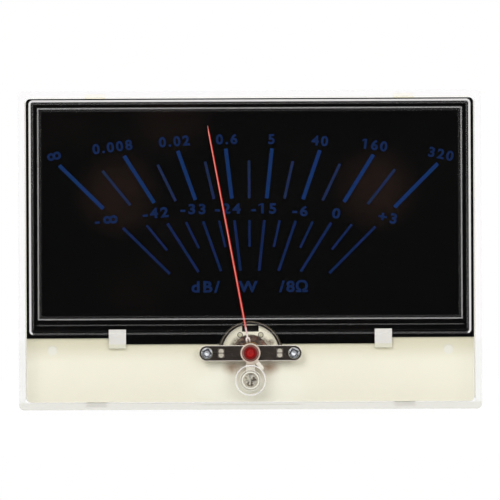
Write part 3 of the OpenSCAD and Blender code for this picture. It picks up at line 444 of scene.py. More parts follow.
@dataclass(frozen=True)
class ClearPlastic(Finish):
    """Clear moulded cover with painted highlights along the edges of its raised window, a painted
    sheen on its rim and a painted highlight ring round the button.
    """

    # Half width, bottom, top and corner radius of both steps and of the middle inside the walls
    border: tuple[float, ...] = (63.9, 21.8, 89.7, 1.2)
    window: tuple[float, ...] = (61.4, 26.1, 87.4, 0.15)
    rim: tuple[float, ...] = (65.1, 2.1, 90.4, 0.8)
    border_line: Point = (0.5, 0.5)  # width and brightness of the painted highlight along the lower step's edge
    window_line: Point = (0.3, 0.18)  # the same of the painted highlight along the upper step's edge
    face: float = -13.6  # depth in front of which the rim's painted sheen lies
    rim_sheen_share: Point = (0.6, 0.85)  # share of white of the painted sheen in that face, above and at the foot
    button: tuple[float, ...] = (8.42, 4.3, 0.24)  # height, radius and width of the painted highlight ring round the button

    def inside(self, outline: Sequence[float]) -> Signal:
        """Distance from the outline of a rounded rectangle, less than 0 inside it.

        Args:
            outline: Its half width, bottom, top and corner radius.

        Returns:
            The distance.
        """
        half, low, high, radius = outline
        x, _, z = self.axes
        across = abs(x) - (half - radius)
        up = abs(z - (low + high) / 2) - ((high - low) / 2 - radius)
        corner = across.at_least(0.0).hypot(up.at_least(0.0))
        return corner + across.at_least(up).at_most(0.0) - radius

    def line(self, outline: Sequence[float], width: float, bright: float) -> Signal:
        """Painted highlight line just inside an outline, with a faint one further in.

        Args:
            outline: Half width, bottom, top and corner radius.
            width: Width of the line.
            bright: Brightness of the line.

        Returns:
            The brightness over the whole cover.
        """
        away = self.inside(outline)
        core = abs(away + width / 2).rise(width / 2 + 0.16, width / 2 - 0.12) * bright
        echo = abs(away + width + 0.55).rise(0.3, 0.08) * (0.07 * bright)
        skirt = away.rise(-1.4, -0.3) * away.rise(0.05, -0.05) * (0.02 * bright)
        return core.at_least(echo).at_least(skirt)

    @property
    def edges(self) -> Signal:
        """Brightness of the painted highlights along the moulded edges over the whole cover."""
        x, _, z = self.axes
        foot = 1.0 - (z.rise(24.0, 22.8) * abs(x).rise(63.3, 62.7)) * 0.93
        step = abs(z - 24.55).rise(0.24, 0.06) * abs(x).rise(62.0, 61.4) * 0.035
        lower = self.line(self.border, *self.border_line) * foot
        return lower.at_least(self.line(self.window, *self.window_line)).at_least(step)

    @property
    def surface(self) -> Signal:
        """Shader of the clear plastic."""
        x, y, z = self.axes
        wall = self.inside(self.rim).rise(-0.15, 0.15)
        foot = z.rise(2.6, 1.8)
        bottom_band = z.band(1.45, 0.15, 0.35) * abs(x).rise(17.0, 12.0) * 0.5
        # painted sheen on the rim, standing in for light through the clear walls; darker towards
        # the bottom and in a band at the bottom middle
        rim_sheen = self.paint(
            (0.86, 0.84, 0.855),
            (z.rise(21.0, 19.0), (0.78, 0.79, 0.765)),
            (foot, (0.7, 0.69, 0.64)),
            (bottom_band, (0.42, 0.42, 0.3)),
        )
        # white layer that carries the painted light: highlights on the edges, the rim's sheen and
        # the ring round the button
        painted_layer = self.principled(
            Base_Color=self.paint((0.95, 0.93, 0.93), (wall, rim_sheen)),
            Roughness=0.3 + self.noise(2.0, 2.0) * 0.1,
            Specular_IOR_Level=0.2,
        )
        rim_sheen_share = foot * (self.rim_sheen_share[1] - self.rim_sheen_share[0]) + self.rim_sheen_share[0]
        rim = wall * y.rise(self.face + 0.3, self.face) * rim_sheen_share
        axis_z, radius, width = self.button
        # painted highlight ring round the button's boss
        ring = self.away(0.0, axis_z).band(radius, width / 2, width) * 0.7
        bright = self.edges.at_least(rim).at_least(ring).at_most(1.0)
        return self.blend(bright, self.glass((0.994, 0.995, 0.993), 1.35, 0.04), painted_layer)


@dataclass(frozen=True)
class TurnedPlastic(Finish):
    """Clear turned button with two painted highlight rings, painted shade beside its outer ring
    and a mottled middle.
    """

    axis_z: float = 8.42
    rings: Point = (3.15, 2.35)  # radii of the painted highlight rings

    @property
    def surface(self) -> Signal:
        """Shader of the clear button."""
        away = self.away(0.0, self.axis_z)
        outer, inner = (abs(away - ring) for ring in self.rings)
        # painted highlights of the two turned rings
        bright = (outer.rise(0.24, 0.1) * 0.95).at_least(inner.rise(0.22, 0.1) * 0.85)
        dark = self.noise(0.9).rise(0.5, 0.42) * away.rise(2.0, 1.6)
        # painted shade beside the outer ring, heavier towards the top
        upper = 0.25 + self.axes[2].rise(self.axis_z - 1.0, self.axis_z + 2.5) * 0.55
        gap = away.band(2.75, 0.1, 0.3).at_least(away.rise(3.3, 3.5)) * upper
        tone = self.paint(
            (0.95, 0.93, 0.84),
            (dark, (0.07, 0.045, 0.03)),
            (gap.at_most(1.0 - bright), (0.36, 0.33, 0.24)),
        )
        share = bright.at_least(dark * 0.85).at_least(away.rise(2.0, 1.5) * 0.3)
        painted_layer = self.principled(Base_Color=tone, Roughness=0.25)
        glass = self.glass((0.955, 0.95, 0.935), 1.4, 0.06)
        return self.blend(share.at_least(gap * 0.7).at_most(1.0), glass, painted_layer)


@dataclass(frozen=True)
class DialBlack(Finish):
    """Smooth black dial with very faint painted warm reflections."""

    warm_reflections: tuple[tuple[float, ...], ...] = (  # place and share of each painted warm reflection
        (-38.3, 62.5, 1.0), (36.8, 64.0, 1.0), (-22.5, 85.2, 0.45)
    )

    @property
    def surface(self) -> Signal:
        """Shader of the dial."""
        # painted warm reflections: faint clouds all over and three soft patches
        warm = self.noise(26.0, 2.0, (1.4, 1.0, 1.0)).rise(0.5, 0.8) * 0.7
        fine = self.noise(0.2, 2.0)
        base = self.paint(srgb(4, 4, 4), (warm, srgb(14, 10, 8)))
        for x, z, share in self.warm_reflections:
            ragged = share * (0.45 + self.noise(7.0, 2.0))
            patch = (self.away(x, z).rise(15.0, 3.0) * ragged).at_most(1.0)
            base = self.paint(base, (patch, srgb(27, 18, 14)))
        return self.principled(
            Base_Color=base,
            Roughness=0.5 + fine * 0.15,
            Normal=self.bump(fine, 0.004),
            Specular_IOR_Level=0.03,
        )


@dataclass(frozen=True)
class ScaleInk(Finish):
    """Unlit blue print that is duller on the short marks and the inner row."""

    row_edge: float = 42.0  # height above the axis at which the outer row starts

    @property
    def surface(self) -> Signal:
        """Shader of the print."""
        x, _, z = self.axes
        up = z - AXIS.z
        turn = self.math(Op.ARCTAN2, x, up) / math.radians(MARK_STEP)
        short = abs((turn + 20.0).fract() - 0.5).rise(0.3, 0.42)
        outer = (up + x * x / (2 * MARK_ARC)).rise(self.row_edge - 1, self.row_edge + 1)
        uneven = self.noise(2.2).rise(0.3, 0.75) * 0.3
        marks = self.paint(srgb(15, 45, 89), (short, srgb(25, 38, 65)))
        ink = self.paint(srgb(13, 32, 67), (outer, marks), (uneven, srgb(32, 34, 92)))
        return self.principled(Base_Color=ink, Roughness=0.55, Specular_IOR_Level=0.03)


@dataclass(frozen=True)
class NumberInk(Finish):
    """Blue print of the numbers."""

    color: Color = srgb(16, 33, 69)

    @property
    def surface(self) -> Signal:
        """Shader of the numbers."""
        uneven = self.noise(1.4).rise(0.35, 0.7) * 0.4
        ink = self.paint(self.color, (uneven, tuple(1.5 * part for part in self.color)))
        return self.principled(Base_Color=ink, Roughness=0.55, Specular_IOR_Level=0.03)


@dataclass(frozen=True)
class Metal(Finish):
    """Plated, turned or rolled metal."""

    color: Color
    rough: float = 0.25
    tarnish: Color = (0.2, 0.17, 0.13)  # colour of its dull patches
    dull: float = 0.15  # how dull they are
    streak: tuple[float, ...] = (12.0, 1.0, 1.0)  # how much longer scratches are on each axis
    scratch: float = 0.002  # depth of the scratches
    edge: float = 0.1  # radius of its edges
    metallic: float = 1.0

    @property
    def patches(self) -> Signal:
        """Share of the dull patches."""
        return self.noise(1.6).rise(0.45, 0.75) * self.dull

    @property
    def tint(self) -> Tint:
        """Metal with dull patches."""
        return self.paint(self.color, (self.patches, self.tarnish))

    @property
    def surface(self) -> Signal:
        """Shader of the metal."""
        lines = self.noise(0.12, 2.0, self.streak)
        return self.principled(
            Base_Color=self.tint,
            Metallic=self.metallic,
            Roughness=self.rough + lines * 0.08 + self.patches * 0.3,
            Normal=self.bump(lines, self.scratch, self.edge),
        )


@dataclass(frozen=True)
class BridgeMetal(Metal):
    """Dark plated bridge with a painted highlight along its edges."""

    half: float = 2.28  # half of its width
    end: float = 12.67  # distance of each rounded end's centre from the middle

    @property
    def tint(self) -> Tint:
        """Dark metal with a painted highlight along its edges."""
        x, _, z = self.axes
        away = (abs(x) - self.end).at_least(0.0).hypot(z - AXIS.z)
        # painted highlight along the edges, broken up by noise
        edge = away.rise(self.half - 0.28, self.half - 0.1) * self.noise(1.5).rise(0.1, 0.42)
        cloud = self.noise(2.6).rise(0.4, 0.75) * 0.3
        return self.paint(self.color, (cloud, self.tarnish), (edge, srgb(255, 246, 236)))


@dataclass(frozen=True)
class LeverMetal(Metal):
    """Thin lever whose ring is dark inside a bright edge."""

    ring: float = 2.45  # radius at which the bright edge starts

    @property
    def tint(self) -> Tint:
        """Bright metal, darker within the ring."""
        inner = self.radius.rise(self.ring + 0.1, self.ring - 0.1)
        line = self.radius.band(2.12, 0.06, 0.2) * 0.4
        return self.paint(
            self.color,
            (self.noise(1.2).rise(0.35, 0.7) * 0.25, self.tarnish),
            (self.radius.rise(3.2, 3.6), srgb(246, 240, 226)),
            (inner * (1.0 - line), srgb(118, 46, 38)),
        )


@dataclass(frozen=True)
class CupMetal(Metal):
    """Cup of the movement: two painted highlight lines on its rim, and painted shade inside and
    between the lines.
    """

    deep: Color = srgb(40, 32, 28)  # colour of the shaded inside
    lines: Point = (8.98, 8.2)  # radii of the painted highlight lines
    rim_y: float = -5.2  # depth at which the rim ends

    @property
    def tint(self) -> Tint:
        """Metal by its place on the cup, with the painted highlight lines and the painted shade.
        """
        rim = self.axes[1].rise(self.rim_y, self.rim_y - 0.2)
        shine = self.radius.rise(9.1, 9.18)
        for line in self.lines:
            shine = shine.at_least(self.radius.band(line, 0.1, 0.16) * rim)
        worn = self.noise(1.2).rise(0.3, 0.65) * 0.4
        bright = self.paint(self.color, (worn, self.tarnish))
        # the middle's mottled brown is painted lighter to make up for the shade deep in the cup
        floor = self.paint(self.deep, (self.noise(0.8).rise(0.3, 0.7), srgb(158, 124, 104)))
        return self.paint(self.deep, (self.radius.rise(5.8, 5.5), floor), (shine, bright))


class HolderMetal(Metal):
    """Folded light metal arm that is darker near the hub."""

    @property
    def tint(self) -> Tint:
        """Bright metal, darker near the hub."""
        return self.paint(self.color, (self.radius.rise(4.2, 3.2), srgb(158, 146, 134)))


@dataclass(frozen=True)
class ScrewMetal(Metal):
    """Bright screw with a recess, and painted reflections of its dome: a dark ring and a bright
    rim.
    """

    apart: float = 12.6  # distance of the two axes from the middle

    @property
    def tint(self) -> Tint:
        """Metal by its distance from the screw's axis, with the painted reflections."""
        away = self.pair(self.apart, AXIS.z)
        # painted reflections of the domed head: a dark ring round the recess and a thin dark line
        # near the edge
        dark = away.band(1.36, 0.08, 0.2).at_least(away.band(0.98, 0.24, 0.3) * 0.95)
        rim = away.rise(1.4, 1.55)
        return self.paint(self.color, (rim, srgb(196, 194, 184)), (dark, srgb(94, 96, 102)))


@dataclass(frozen=True)
class Lacquer(Finish):
    """Glossy paint over metal."""

    color: Color
    deep: Color  # colour where it lies thick; on a head also the painted shade of its slopes

    @property
    def thick(self) -> Signal:
        """Where the paint lies thick."""
        return self.noise(0.7).rise(0.35, 0.7)

    @property
    def height(self) -> Signal:
        """Height of the paint's skin."""
        return self.noise(0.25, 2.0)

    @property
    def tint(self) -> Tint:
        """Colour of the paint; each lacquer has its own."""
        raise NotImplementedError

    @property
    def surface(self) -> Signal:
        """Shader of the paint."""
        height = self.height
        return self.principled(
            Base_Color=self.tint,
            Roughness=0.28 + height * 0.1,
            Normal=self.bump(height, 0.02, 0.08),
            Coat_Weight=0.1,
            Coat_Roughness=0.12,
            Specular_IOR_Level=0.2,
        )


class HeadLacquer(Lacquer):
    """Paint on a turned head, with fine rings of the turning."""

    @property
    def height(self) -> Signal:
        """Height of the rings and of the paint's skin."""
        return super().height * 0.3 + (self.radius * 9.0).sine() * 0.5

    @property
    def tint(self) -> Tint:
        """Red by the distance from the axis, with painted shade on the slopes, darker at the
        middle, and a faint painted highlight ring.
        """
        # painted shade on the head's slopes; the paint is also darker at its very middle
        slopes = self.radius.rise(0.75, 1.35) * 0.6 + self.radius.rise(0.4, 0.0) * 0.25
        # faint painted highlight ring
        ring = self.radius.band(0.62, 0.05, 0.4) * 0.25
        deep = self.thick * 0.3 + slopes
        return self.paint(self.color, (deep, self.deep), (ring, srgb(214, 96, 92)))


@dataclass(frozen=True)
class NeedleLacquer(Lacquer):
    """Paint on a thin tube, with a painted highlight along its middle, and worn off near the axis.
    """

    bare: float = 7.6  # distance from the axis within which it is worn off
    core: float = 0.125  # half width of the painted highlight along the middle

    @property
    def tint(self) -> Tint:
        """Red with the painted highlight along the middle and the worn end."""
        x, _, z = self.axes
        aside = abs(x * math.cos(LEAN) + (z - AXIS.z) * math.sin(LEAN))
        # painted highlight along the tube's middle, in the paler colour
        pale = self.paint(self.color, (self.thick * 0.2, self.deep))
        middle = aside.rise(1.5 * self.core, 0.5 * self.core)
        worn = self.radius.rise(self.bare + 0.8, self.bare - 0.8) * 0.8
        return self.paint(self.deep, (middle, pale), (worn, srgb(240, 214, 214)))


class Ruby(Finish):
    """Polished red jewel stone."""

    @property
    def surface(self) -> Signal:
        """Shader of the stone."""
        depth = self.noise(0.5, 2.0)
        return self.principled(
            Base_Color=self.paint((0.55, 0.01, 0.03), (depth, (0.8, 0.06, 0.1))),
            Roughness=0.05 + depth * 0.05,
            Coat_Weight=1.0,
            Coat_Roughness=0.02,
            IOR=1.76,
        )


@dataclass(frozen=True)
class WoundWire(Finish):
    """Fine enamelled wire, laid side by side along the movement's depth."""

    pitch: float = 0.11  # distance between turns

    @property
    def surface(self) -> Signal:
        """Shader of the winding."""
        x, _, z = self.axes
        across = z * math.cos(LEAN) - x * math.sin(LEAN) + self.noise(0.6, 2.0) * 0.025
        turns = (across * (math.tau / self.pitch)).sine() * 0.5 + 0.5
        return self.principled(
            Base_Color=self.paint(srgb(56, 26, 14), (turns, srgb(150, 84, 44))),
            Metallic=0.35,
            Roughness=0.32 + turns * 0.1,
            Normal=self.bump(turns, 0.03),
            Coat_Weight=0.4,
        )


class StainedPaper(Finish):
    """Varnished brown paper, stained rusty, with pale streaks that grow into painted highlights on
    its left and right.
    """

    @property
    def surface(self) -> Signal:
        """Shader of the paper."""
        x = self.axes[0]
        rusty = self.noise(1.3, 4.0).rise(0.45, 0.68) * 0.8
        patchy = self.noise(0.8, 4.0, (1.6, 1.0, 0.8)).rise(0.42, 0.62)
        # pale streaks, stronger on the left and right as painted highlights
        pale = patchy * (0.25 + x.rise(-1.5, -4.0) * 0.5 + x.rise(2.5, 4.5) * 0.4)
        return self.principled(
            Base_Color=self.paint(
                srgb(56, 38, 32), (rusty, srgb(122, 66, 46)), (pale, srgb(176, 152, 130))
            ),
            Roughness=0.5 + patchy * 0.15,
            Normal=self.bump(patchy, 0.02),
        )


class CircuitBoard(Finish):
    """White board with a faint weave, a faint cloudy tint and rounded edges."""

    @property
    def surface(self) -> Signal:
        """Shader of the board."""
        x, _, z = self.axes
        weave = (x * 6.0).sine() * (z * 6.0).sine() * 0.5 + 0.5
        cloud = self.noise(8.0, 2.0) * 0.15
        return self.principled(
            Base_Color=self.paint(srgb(232, 232, 224), (cloud, (0.5, 0.52, 0.42))),
            Roughness=0.38 + weave * 0.06,
            Normal=self.bump(weave, 0.006, 0.15),
            Coat_Weight=0.25,
        )


class Solder(Metal):
    """Frozen solder with a wavy skin."""

    @property
    def surface(self) -> Signal:
        """Shader of the solder."""
        wave = self.noise(0.5, 2.0)
        return self.principled(
            Base_Color=self.paint(self.color, (wave, self.tarnish)),
            Metallic=1.0,
            Roughness=self.rough + wave * 0.15,
            Normal=self.bump(wave, 0.03),
        )


CREAM = srgb(243, 239, 221)
WARDROBE: dict[str, Finish] = {
    "front_cover": ClearPlastic("clear_cover", "clear_plastic"),
    "zero_adjuster": TurnedPlastic("clear_button", "clear_plastic"),
    "rear_case": Plastic("cream_plastic", "cream_plastic", CREAM),
    "front_panel": PanelPlastic("cream_panel", "cream_plastic", CREAM),
    "dial_plate": DialBlack("dial_black", "dial_black"),
    "scale_print scale_marks": ScaleInk("scale_ink", "blue_print"),
    "outer_numbers inner_numbers unit_signs": NumberInk("number_ink", "blue_print"),
    "dial_clips": ClipPlastic("clip_plastic", "white_plastic", srgb(226, 223, 218), 0.4, 0.006),
    "light_diffuser": Plastic("opal_sheet", "opal_plastic", srgb(240, 240, 236), 0.6, 0.004),
    "bridge": BridgeMetal(
        "dark_nickel", "dark_steel", srgb(58, 51, 46), 0.2, srgb(96, 84, 74), edge=0.15,
        metallic=0.45,
    ),
    "bridge_screws front_staff rear_staff lamp_board_screws": Metal(
        "bright_zinc", "bright_steel", srgb(212, 214, 222), 0.2, edge=0.12
    ),
    "star_screws": ScrewMetal("star_zinc", "bright_steel", srgb(236, 238, 244), 0.3, edge=0.06),
    "zero_lever": LeverMetal(
        "lever_plate", "bright_steel", srgb(224, 206, 190), 0.34, metallic=0.4
    ),
    "front_bearing_screw": HeadLacquer("red_head", "red_paint", srgb(168, 8, 8), srgb(104, 0, 0)),
    "front_jewel rear_jewel": Ruby("ruby", "ruby"),
    # the frame's colour is lighter than the natural plastic's own: painted light for its shaded
    # place in the cup
    "movement_frame": FramePlastic(
        "natural_plastic", "natural_plastic", srgb(255, 249, 226), 0.45, 0.01, mottle=0.06
    ),
    "yoke_cup": CupMetal(
        "plated_iron", "soft_iron", srgb(184, 172, 156), 0.34, edge=0.12, metallic=0.3
    ),
    # the magnet's colour is painted lighter and browner than its own dark grey, to make up for the
    # shade deep in the cup
    "core_magnet": Metal(
        "magnet", "magnet", srgb(158, 128, 110), 0.45, srgb(84, 48, 38), 0.8, (1, 1, 1), 0.006,
        metallic=0.2,
    ),
    "stop_pins rear_bearing_screw rear_lock_nut rear_spring_anchor balance_weights "
    "signal_terminals": Metal("brass", "brass", srgb(214, 182, 112), 0.22, srgb(130, 92, 44), 0.3),
    "lamp_terminals": Metal("tin", "tin", srgb(214, 214, 208), dull=0.2),
    "coil_former balance_cross": Metal("aluminium", "aluminium", srgb(226, 224, 218), 0.26),
    "pointer_holder holder_arm": HolderMetal(
        "holder_metal", "aluminium", srgb(250, 236, 230), 0.35, edge=0.12, metallic=0.4
    ),
    "coil_winding lead_wires": WoundWire("wound_wire", "copper_winding"),
    "coil_disc": StainedPaper("stained_paper", "copper_winding"),
    "frame_rivets": Metal(
        "eyelet", "brass", srgb(212, 208, 178), 0.3, srgb(120, 112, 84), 0.4, metallic=0.2
    ),
    "front_hairspring rear_hairspring": Metal(
        "bronze_strip", "bronze_strip", srgb(196, 150, 84), 0.22, dull=0.2
    ),
    # the first colour is the painted highlight along the needle's middle, the second its red
    "pointer needle_tube": NeedleLacquer(
        "needle_red", "needle_red", srgb(228, 142, 129), srgb(190, 17, 8)
    ),
    "lamp_board": CircuitBoard("board_white", "board"),
    "lamps": Plastic("lamp_lens", "lamp_lens", srgb(232, 236, 240), 0.12, 0.001, coat=0.8),
    "lamp_resistors": Plastic(
        "resistor_black", "resistor_black", srgb(30, 30, 32), 0.3, 0.006, 0.15
    ),
    "solder_joints": Solder("solder", "tin", srgb(200, 202, 204), 0.2, 3 * (0.42,)),
    "board_tracks": Metal("track", "tin", srgb(210, 206, 196), 0.3, dull=0.2, edge=0.05),
}
FINISHES = {name: finish for names, finish in WARDROBE.items() for name in names.split()}


@dataclass
class Piece:
    """A fine piece that is built from corners and faces and then rides on the model."""

    name: str  # it also finds the piece's finish
    body: Body
    replaces: Sequence[str] = ()  # the CAD nodes that it stands for
    smooth: bool = True
    made: bmesh.types.BMesh = field(default_factory=bmesh.new)

    def corners(self, points: Iterable[Sequence[float]]) -> Ring:
        """Adds a corner at each point."""
        return [self.made.verts.new(point) for point in points]

    def circle(self, axis: Vector, radius: float, y: float, steps: int) -> Ring:
        """Adds a ring of corners at one depth, round an axis that lies along the depth."""
        turns = (math.tau * i / steps for i in range(steps))
        return self.corners(
            (axis.x + radius * math.cos(a), y, axis.z + radius * math.sin(a)) for a in turns
        )

    def skin(self, rings: Sequence[Ring]) -> None:
        """Joins each ring of corners to the next one.

        Args:
            rings: Rings with the same number of corners.
        """
        for first, second in zip(rings, rings[1:]):
            for i in range(len(first)):
                self.made.faces.new((first[i - 1], first[i], second[i], second[i - 1]))

    def lathe(self, profile: Iterable[Point], axis: Vector, steps: int) -> None:
        """Turns a closed profile of radii and depths round an axis that lies along the depth."""
        rings = [self.circle(axis, radius, y, steps) for radius, y in profile]
        self.skin(rings + rings[:1])

    def tube(self, path: Sequence[Vector], radii: Iterable[Point], sides: int = 12) -> None:
        """Adds a closed tube with an oval section.

        Args:
            path: Points of the centre line.
            radii: Half width and half depth at each point.
            sides: Corners of the section.
        """
        rings = []
        for i, (point, (half_wide, half_deep)) in enumerate(zip(path, radii)):
            along = (path[min(i + 1, len(path) - 1)] - path[max(i - 1, 0)]).normalized()
            deep = Vector((0, 1, 0)) - along * along.y
            deep = deep.normalized() if deep.length > 0.1 else Vector((1, 0, 0))
            wide = along.cross(deep) * half_wide
            turns = (math.tau * k / sides for k in range(sides))
            rings.append(self.corners(
                point + wide * math.cos(a) + deep * (half_deep * math.sin(a)) for a in turns
            ))
        self.skin(rings)
        self.made.faces.new(rings[0])
        self.made.faces.new(rings[-1])

    def thicken(self, thick: float) -> None:
        """Pulls all of its flat faces into the depth.

        Args:
            thick: How far they are pulled.
        """
        grown = bmesh.ops.extrude_face_region(self.made, geom=list(self.made.faces))
        moved = [part for part in grown["geom"] if isinstance(part, bmesh.types.BMVert)]
        bmesh.ops.translate(self.made, verts=moved, vec=(0, thick, 0))

    def ride(self) -> None:
        """Turns the mesh into an object on its body."""
        bmesh.ops.recalc_face_normals(self.made, faces=self.made.faces)
        mesh = bpy.data.meshes.new(self.name)
        self.made.to_mesh(mesh)
        self.made.free()
        mesh.transform(Matrix.Scale(MM, 4))
        for face in mesh.polygons:
            face.use_smooth = self.smooth
        finish = FINISHES[self.name]
        mesh.materials.append(finish.material)
        made = put(self.name, mesh)
        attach(made, self.body.value)
        if self.replaces:
            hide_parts(*self.replaces)
        log.info("%s: %d faces on %s", self.name, len(mesh.polygons), self.body.value)


class CarriedNodes:
    """The CAD nodes that keep their shape and get a better finish."""

    def build(self) -> None:
        """Gives every CAD node its finish."""
        for name, node in frame["nodes"].items():
            finish = FINISHES[name]
            if not node.material_slots:
                node.data.materials.append(None)
            for place in node.material_slots:
                place.material = finish.material
            log.info("%s: %s", name, finish.name)


@dataclass
class MarkRow:
    """One kind of mark, printed between two arcs."""

    foot: float  # height of the lower arc above the axis
    top: float  # height of the upper arc above the axis
    wide: float
    count: int


@dataclass
class ScaleMarks:
    """Marks of both rows, on rays from the needle's axis."""

    turn: float = -0.2  # turn of the scale's middle to the right, in degrees
    cut: float = 0.12  # size of a mark's chamfered corners
    rows: tuple[MarkRow, ...] = (
        MarkRow(44.9, 59.45, 1.1, 8),
        MarkRow(44.9, 55.9, 0.82, 7),
        MarkRow(23.9, 38.6, 0.8, 8),
        MarkRow(30.8, 38.6, 0.7, 7),
    )

    def reach(self, angle: float, height: float) -> float:
        """Distance along a ray at which it meets the arc whose top has that height."""
        upright, bend = math.cos(angle), math.sin(angle) ** 2 / MARK_ARC
        return 2 * height / (upright + math.sqrt(upright**2 + 2 * bend * height))

    def outline(self, angle: float, row: MarkRow) -> list[Point]:
        """Outline of one mark, across and along its ray.

        Args:
            angle: Angle of the ray in radians.
            row: The kind of mark.

        Returns:
            Its corners.
        """
        half, inner = row.wide / 2, row.wide / 2 - self.cut
        foot, top = self.reach(angle, row.foot), self.reach(angle, row.top)
        right = [(inner, foot), (half, foot + self.cut), (half, top - self.cut), (inner, top)]
        return right + [(-across, along) for across, along in reversed(right)]

    def build(self) -> None:
        """Prints every mark as a thin bar."""
        low, high = box("scale_print")
        marks = Piece("scale_marks", Body.CASE, ["scale_print"], smooth=False)
        for row in self.rows:
            for i in range(row.count):
                angle = math.radians(self.turn + (i - (row.count - 1) / 2) * MARK_STEP)
                aim = Matrix.Rotation(angle, 3, "Y")
                marks.made.faces.new(marks.corners(
                    AXIS + aim @ Vector((across, 0, along)) + Vector((0, low.y, 0))
                    for across, along in self.outline(angle, row)
                ))
        marks.thicken(high.y - low.y)
        marks.ride()


@dataclass
class Label:
    """One number on the dial."""

    text: str
    right: float  # place of its middle to the right of the scale's centre
    up: float  # place of its middle above that centre
    tilt: float = 0.0  # turn to the left in degrees
    sideways: bool = False


@dataclass
class NumberRow:
    """Numbers that are printed as one piece."""

    name: str
    height: float  # height of a digit
    wide: float  # stretch across
    labels: tuple[Label, ...]


@dataclass
class DialNumbers:
    """Numbers and unit signs printed on the dial."""

    centre: Point = (-0.2, 16.64)  # place of the scale's centre across, and above the base
    weight: float = 0.05  # how much the strokes are thickened, as a share of the height
    thin: float = 0.03  # the same for an 8 that lies on its side
    spread: Point = (1.42, 1.28)  # stretch across and upward of such an 8
    flag: tuple[float, ...] = (0.25, 0.14, 0.17)  # reach, drop and thickness of a 1's stroke
    lift: float = 0.04  # thickness of the print
    rows: tuple[NumberRow, ...] = (
        NumberRow("outer_numbers", 2.72, 1.06, (
            Label("8", -56.63, 56.93, 13, True), Label("0.008", -39.65, 59.62, 7),
            Label("0.02", -21.68, 61.18, 4), Label("0.6", -6.45, 61.73, 1),
            Label("5", 6.55, 61.73), Label("40", 20.6, 61.18, -4),
            Label("160", 36.85, 59.8, -8), Label("320", 55.8, 57.2, -12),
        )),
        NumberRow("inner_numbers", 2.8, 1.16, (
            Label("8", -40.35, 38.5, 5, True), Label("-", -44.1355, 38.1688, 5),
            Label("-42", -27.2, 40.4, 5), Label("-33", -16.3, 41.5), Label("-24", -6.2, 41.6),
            Label("-15", 4.2, 41.6), Label("-6", 14.8, 40.9, -5), Label("0", 25.3, 40.1, -12),
            Label("+3", 40.2, 38.8, -10),
        )),
        NumberRow("unit_signs", 3.1, 1.12, (
            Label("dB", -13.8, 18.93), Label("/", -9.4, 18.93), Label("W", -0.4, 18.93),
            Label("/", 9.4, 18.93), Label("8", 11.9, 18.93), Label("Ω", 15.2, 18.93),
        )),
    )

    def glyphs(self, text: str, height: float, weight: float) -> bpy.types.Mesh:
        """Flat mesh of a text, centred on its middle.

        Args:
            text: The text.
            height: Height of a digit.
            weight: How much its strokes are thickened, as a share of the height.

        Returns:
            The mesh, in metres.
        """
        digit_share = 0.7
        curve = bpy.data.curves.new("number", "FONT")
        curve.body = text
        curve.size = height / digit_share * MM
        curve.offset = weight * height * MM
        curve.space_character = 1.3
        curve.resolution_u = 6
        shown = put("number", curve)
        bpy.context.view_layer.update()
        graph = bpy.context.evaluated_depsgraph_get()
        mesh = bpy.data.meshes.new_from_object(shown.evaluated_get(graph))
        bpy.data.objects.remove(shown)
        bpy.data.curves.remove(curve)
        xs = [v.co.x for v in mesh.vertices]
        mesh.transform(Matrix.Translation((-(min(xs) + max(xs)) / 2, -height * MM / 2, 0)))
        if "1" in text:
            self.add_flag(mesh, text.index("1"), height * MM)
        return mesh

    def add_flag(self, mesh: bpy.types.Mesh, place: int, height: float) -> None:
        """Adds the slanted stroke at the head of a 1.

        Args:
            mesh: The text, in which each character is one island.
            place: Place of the 1 in the text.
            height: Height of a digit in metres.
        """
        made = bmesh.new()
        made.from_mesh(mesh)
        left, heads = set(made.verts), []
        while left:
            island = {left.pop()}
            while more := {e.other_vert(v) for v in island for e in v.link_edges} - island:
                island |= more
            left -= island
            heads.append((min(v.co.x for v in island), max(v.co.y for v in island)))
        right, top = sorted(heads)[place]
        reach, drop, thick = (share * height for share in self.flag)
        corners = ((0, 0), (-reach, -drop), (-reach, -drop - thick), (0, -thick))
        made.faces.new([made.verts.new((right + x, top + y, 0)) for x, y in corners])
        made.to_mesh(mesh)
        made.free()

    def build(self) -> None:
        """Prints each row as one piece."""
        front = box("dial_plate")[0].y - self.lift
        for row in self.rows:
            piece = Piece(row.name, Body.CASE, smooth=False)
            for label in row.labels:
                turn, stretch, weight = 0.0, (row.wide, 1.0), self.weight
                if label.sideways:
                    turn, stretch, weight = 90.0, self.spread, self.thin
                mesh = self.glyphs(label.text, row.height, weight)
                x, z = self.centre[0] + label.right, self.centre[1] + label.up
                mesh.transform(
                    Matrix.Translation((x, front, z))
                    @ Matrix.Rotation(math.radians(-label.tilt), 4, "Y")
                    @ Matrix.Rotation(math.radians(90), 4, "X")
                    @ Matrix.Diagonal((*stretch, 1.0, 1.0))
                    @ Matrix.Rotation(math.radians(turn), 4, "Z")
                    @ Matrix.Scale(1 / MM, 4)
                )
                piece.made.from_mesh(mesh)
                bpy.data.meshes.remove(mesh)
            piece.thicken(self.lift)
            piece.ride()


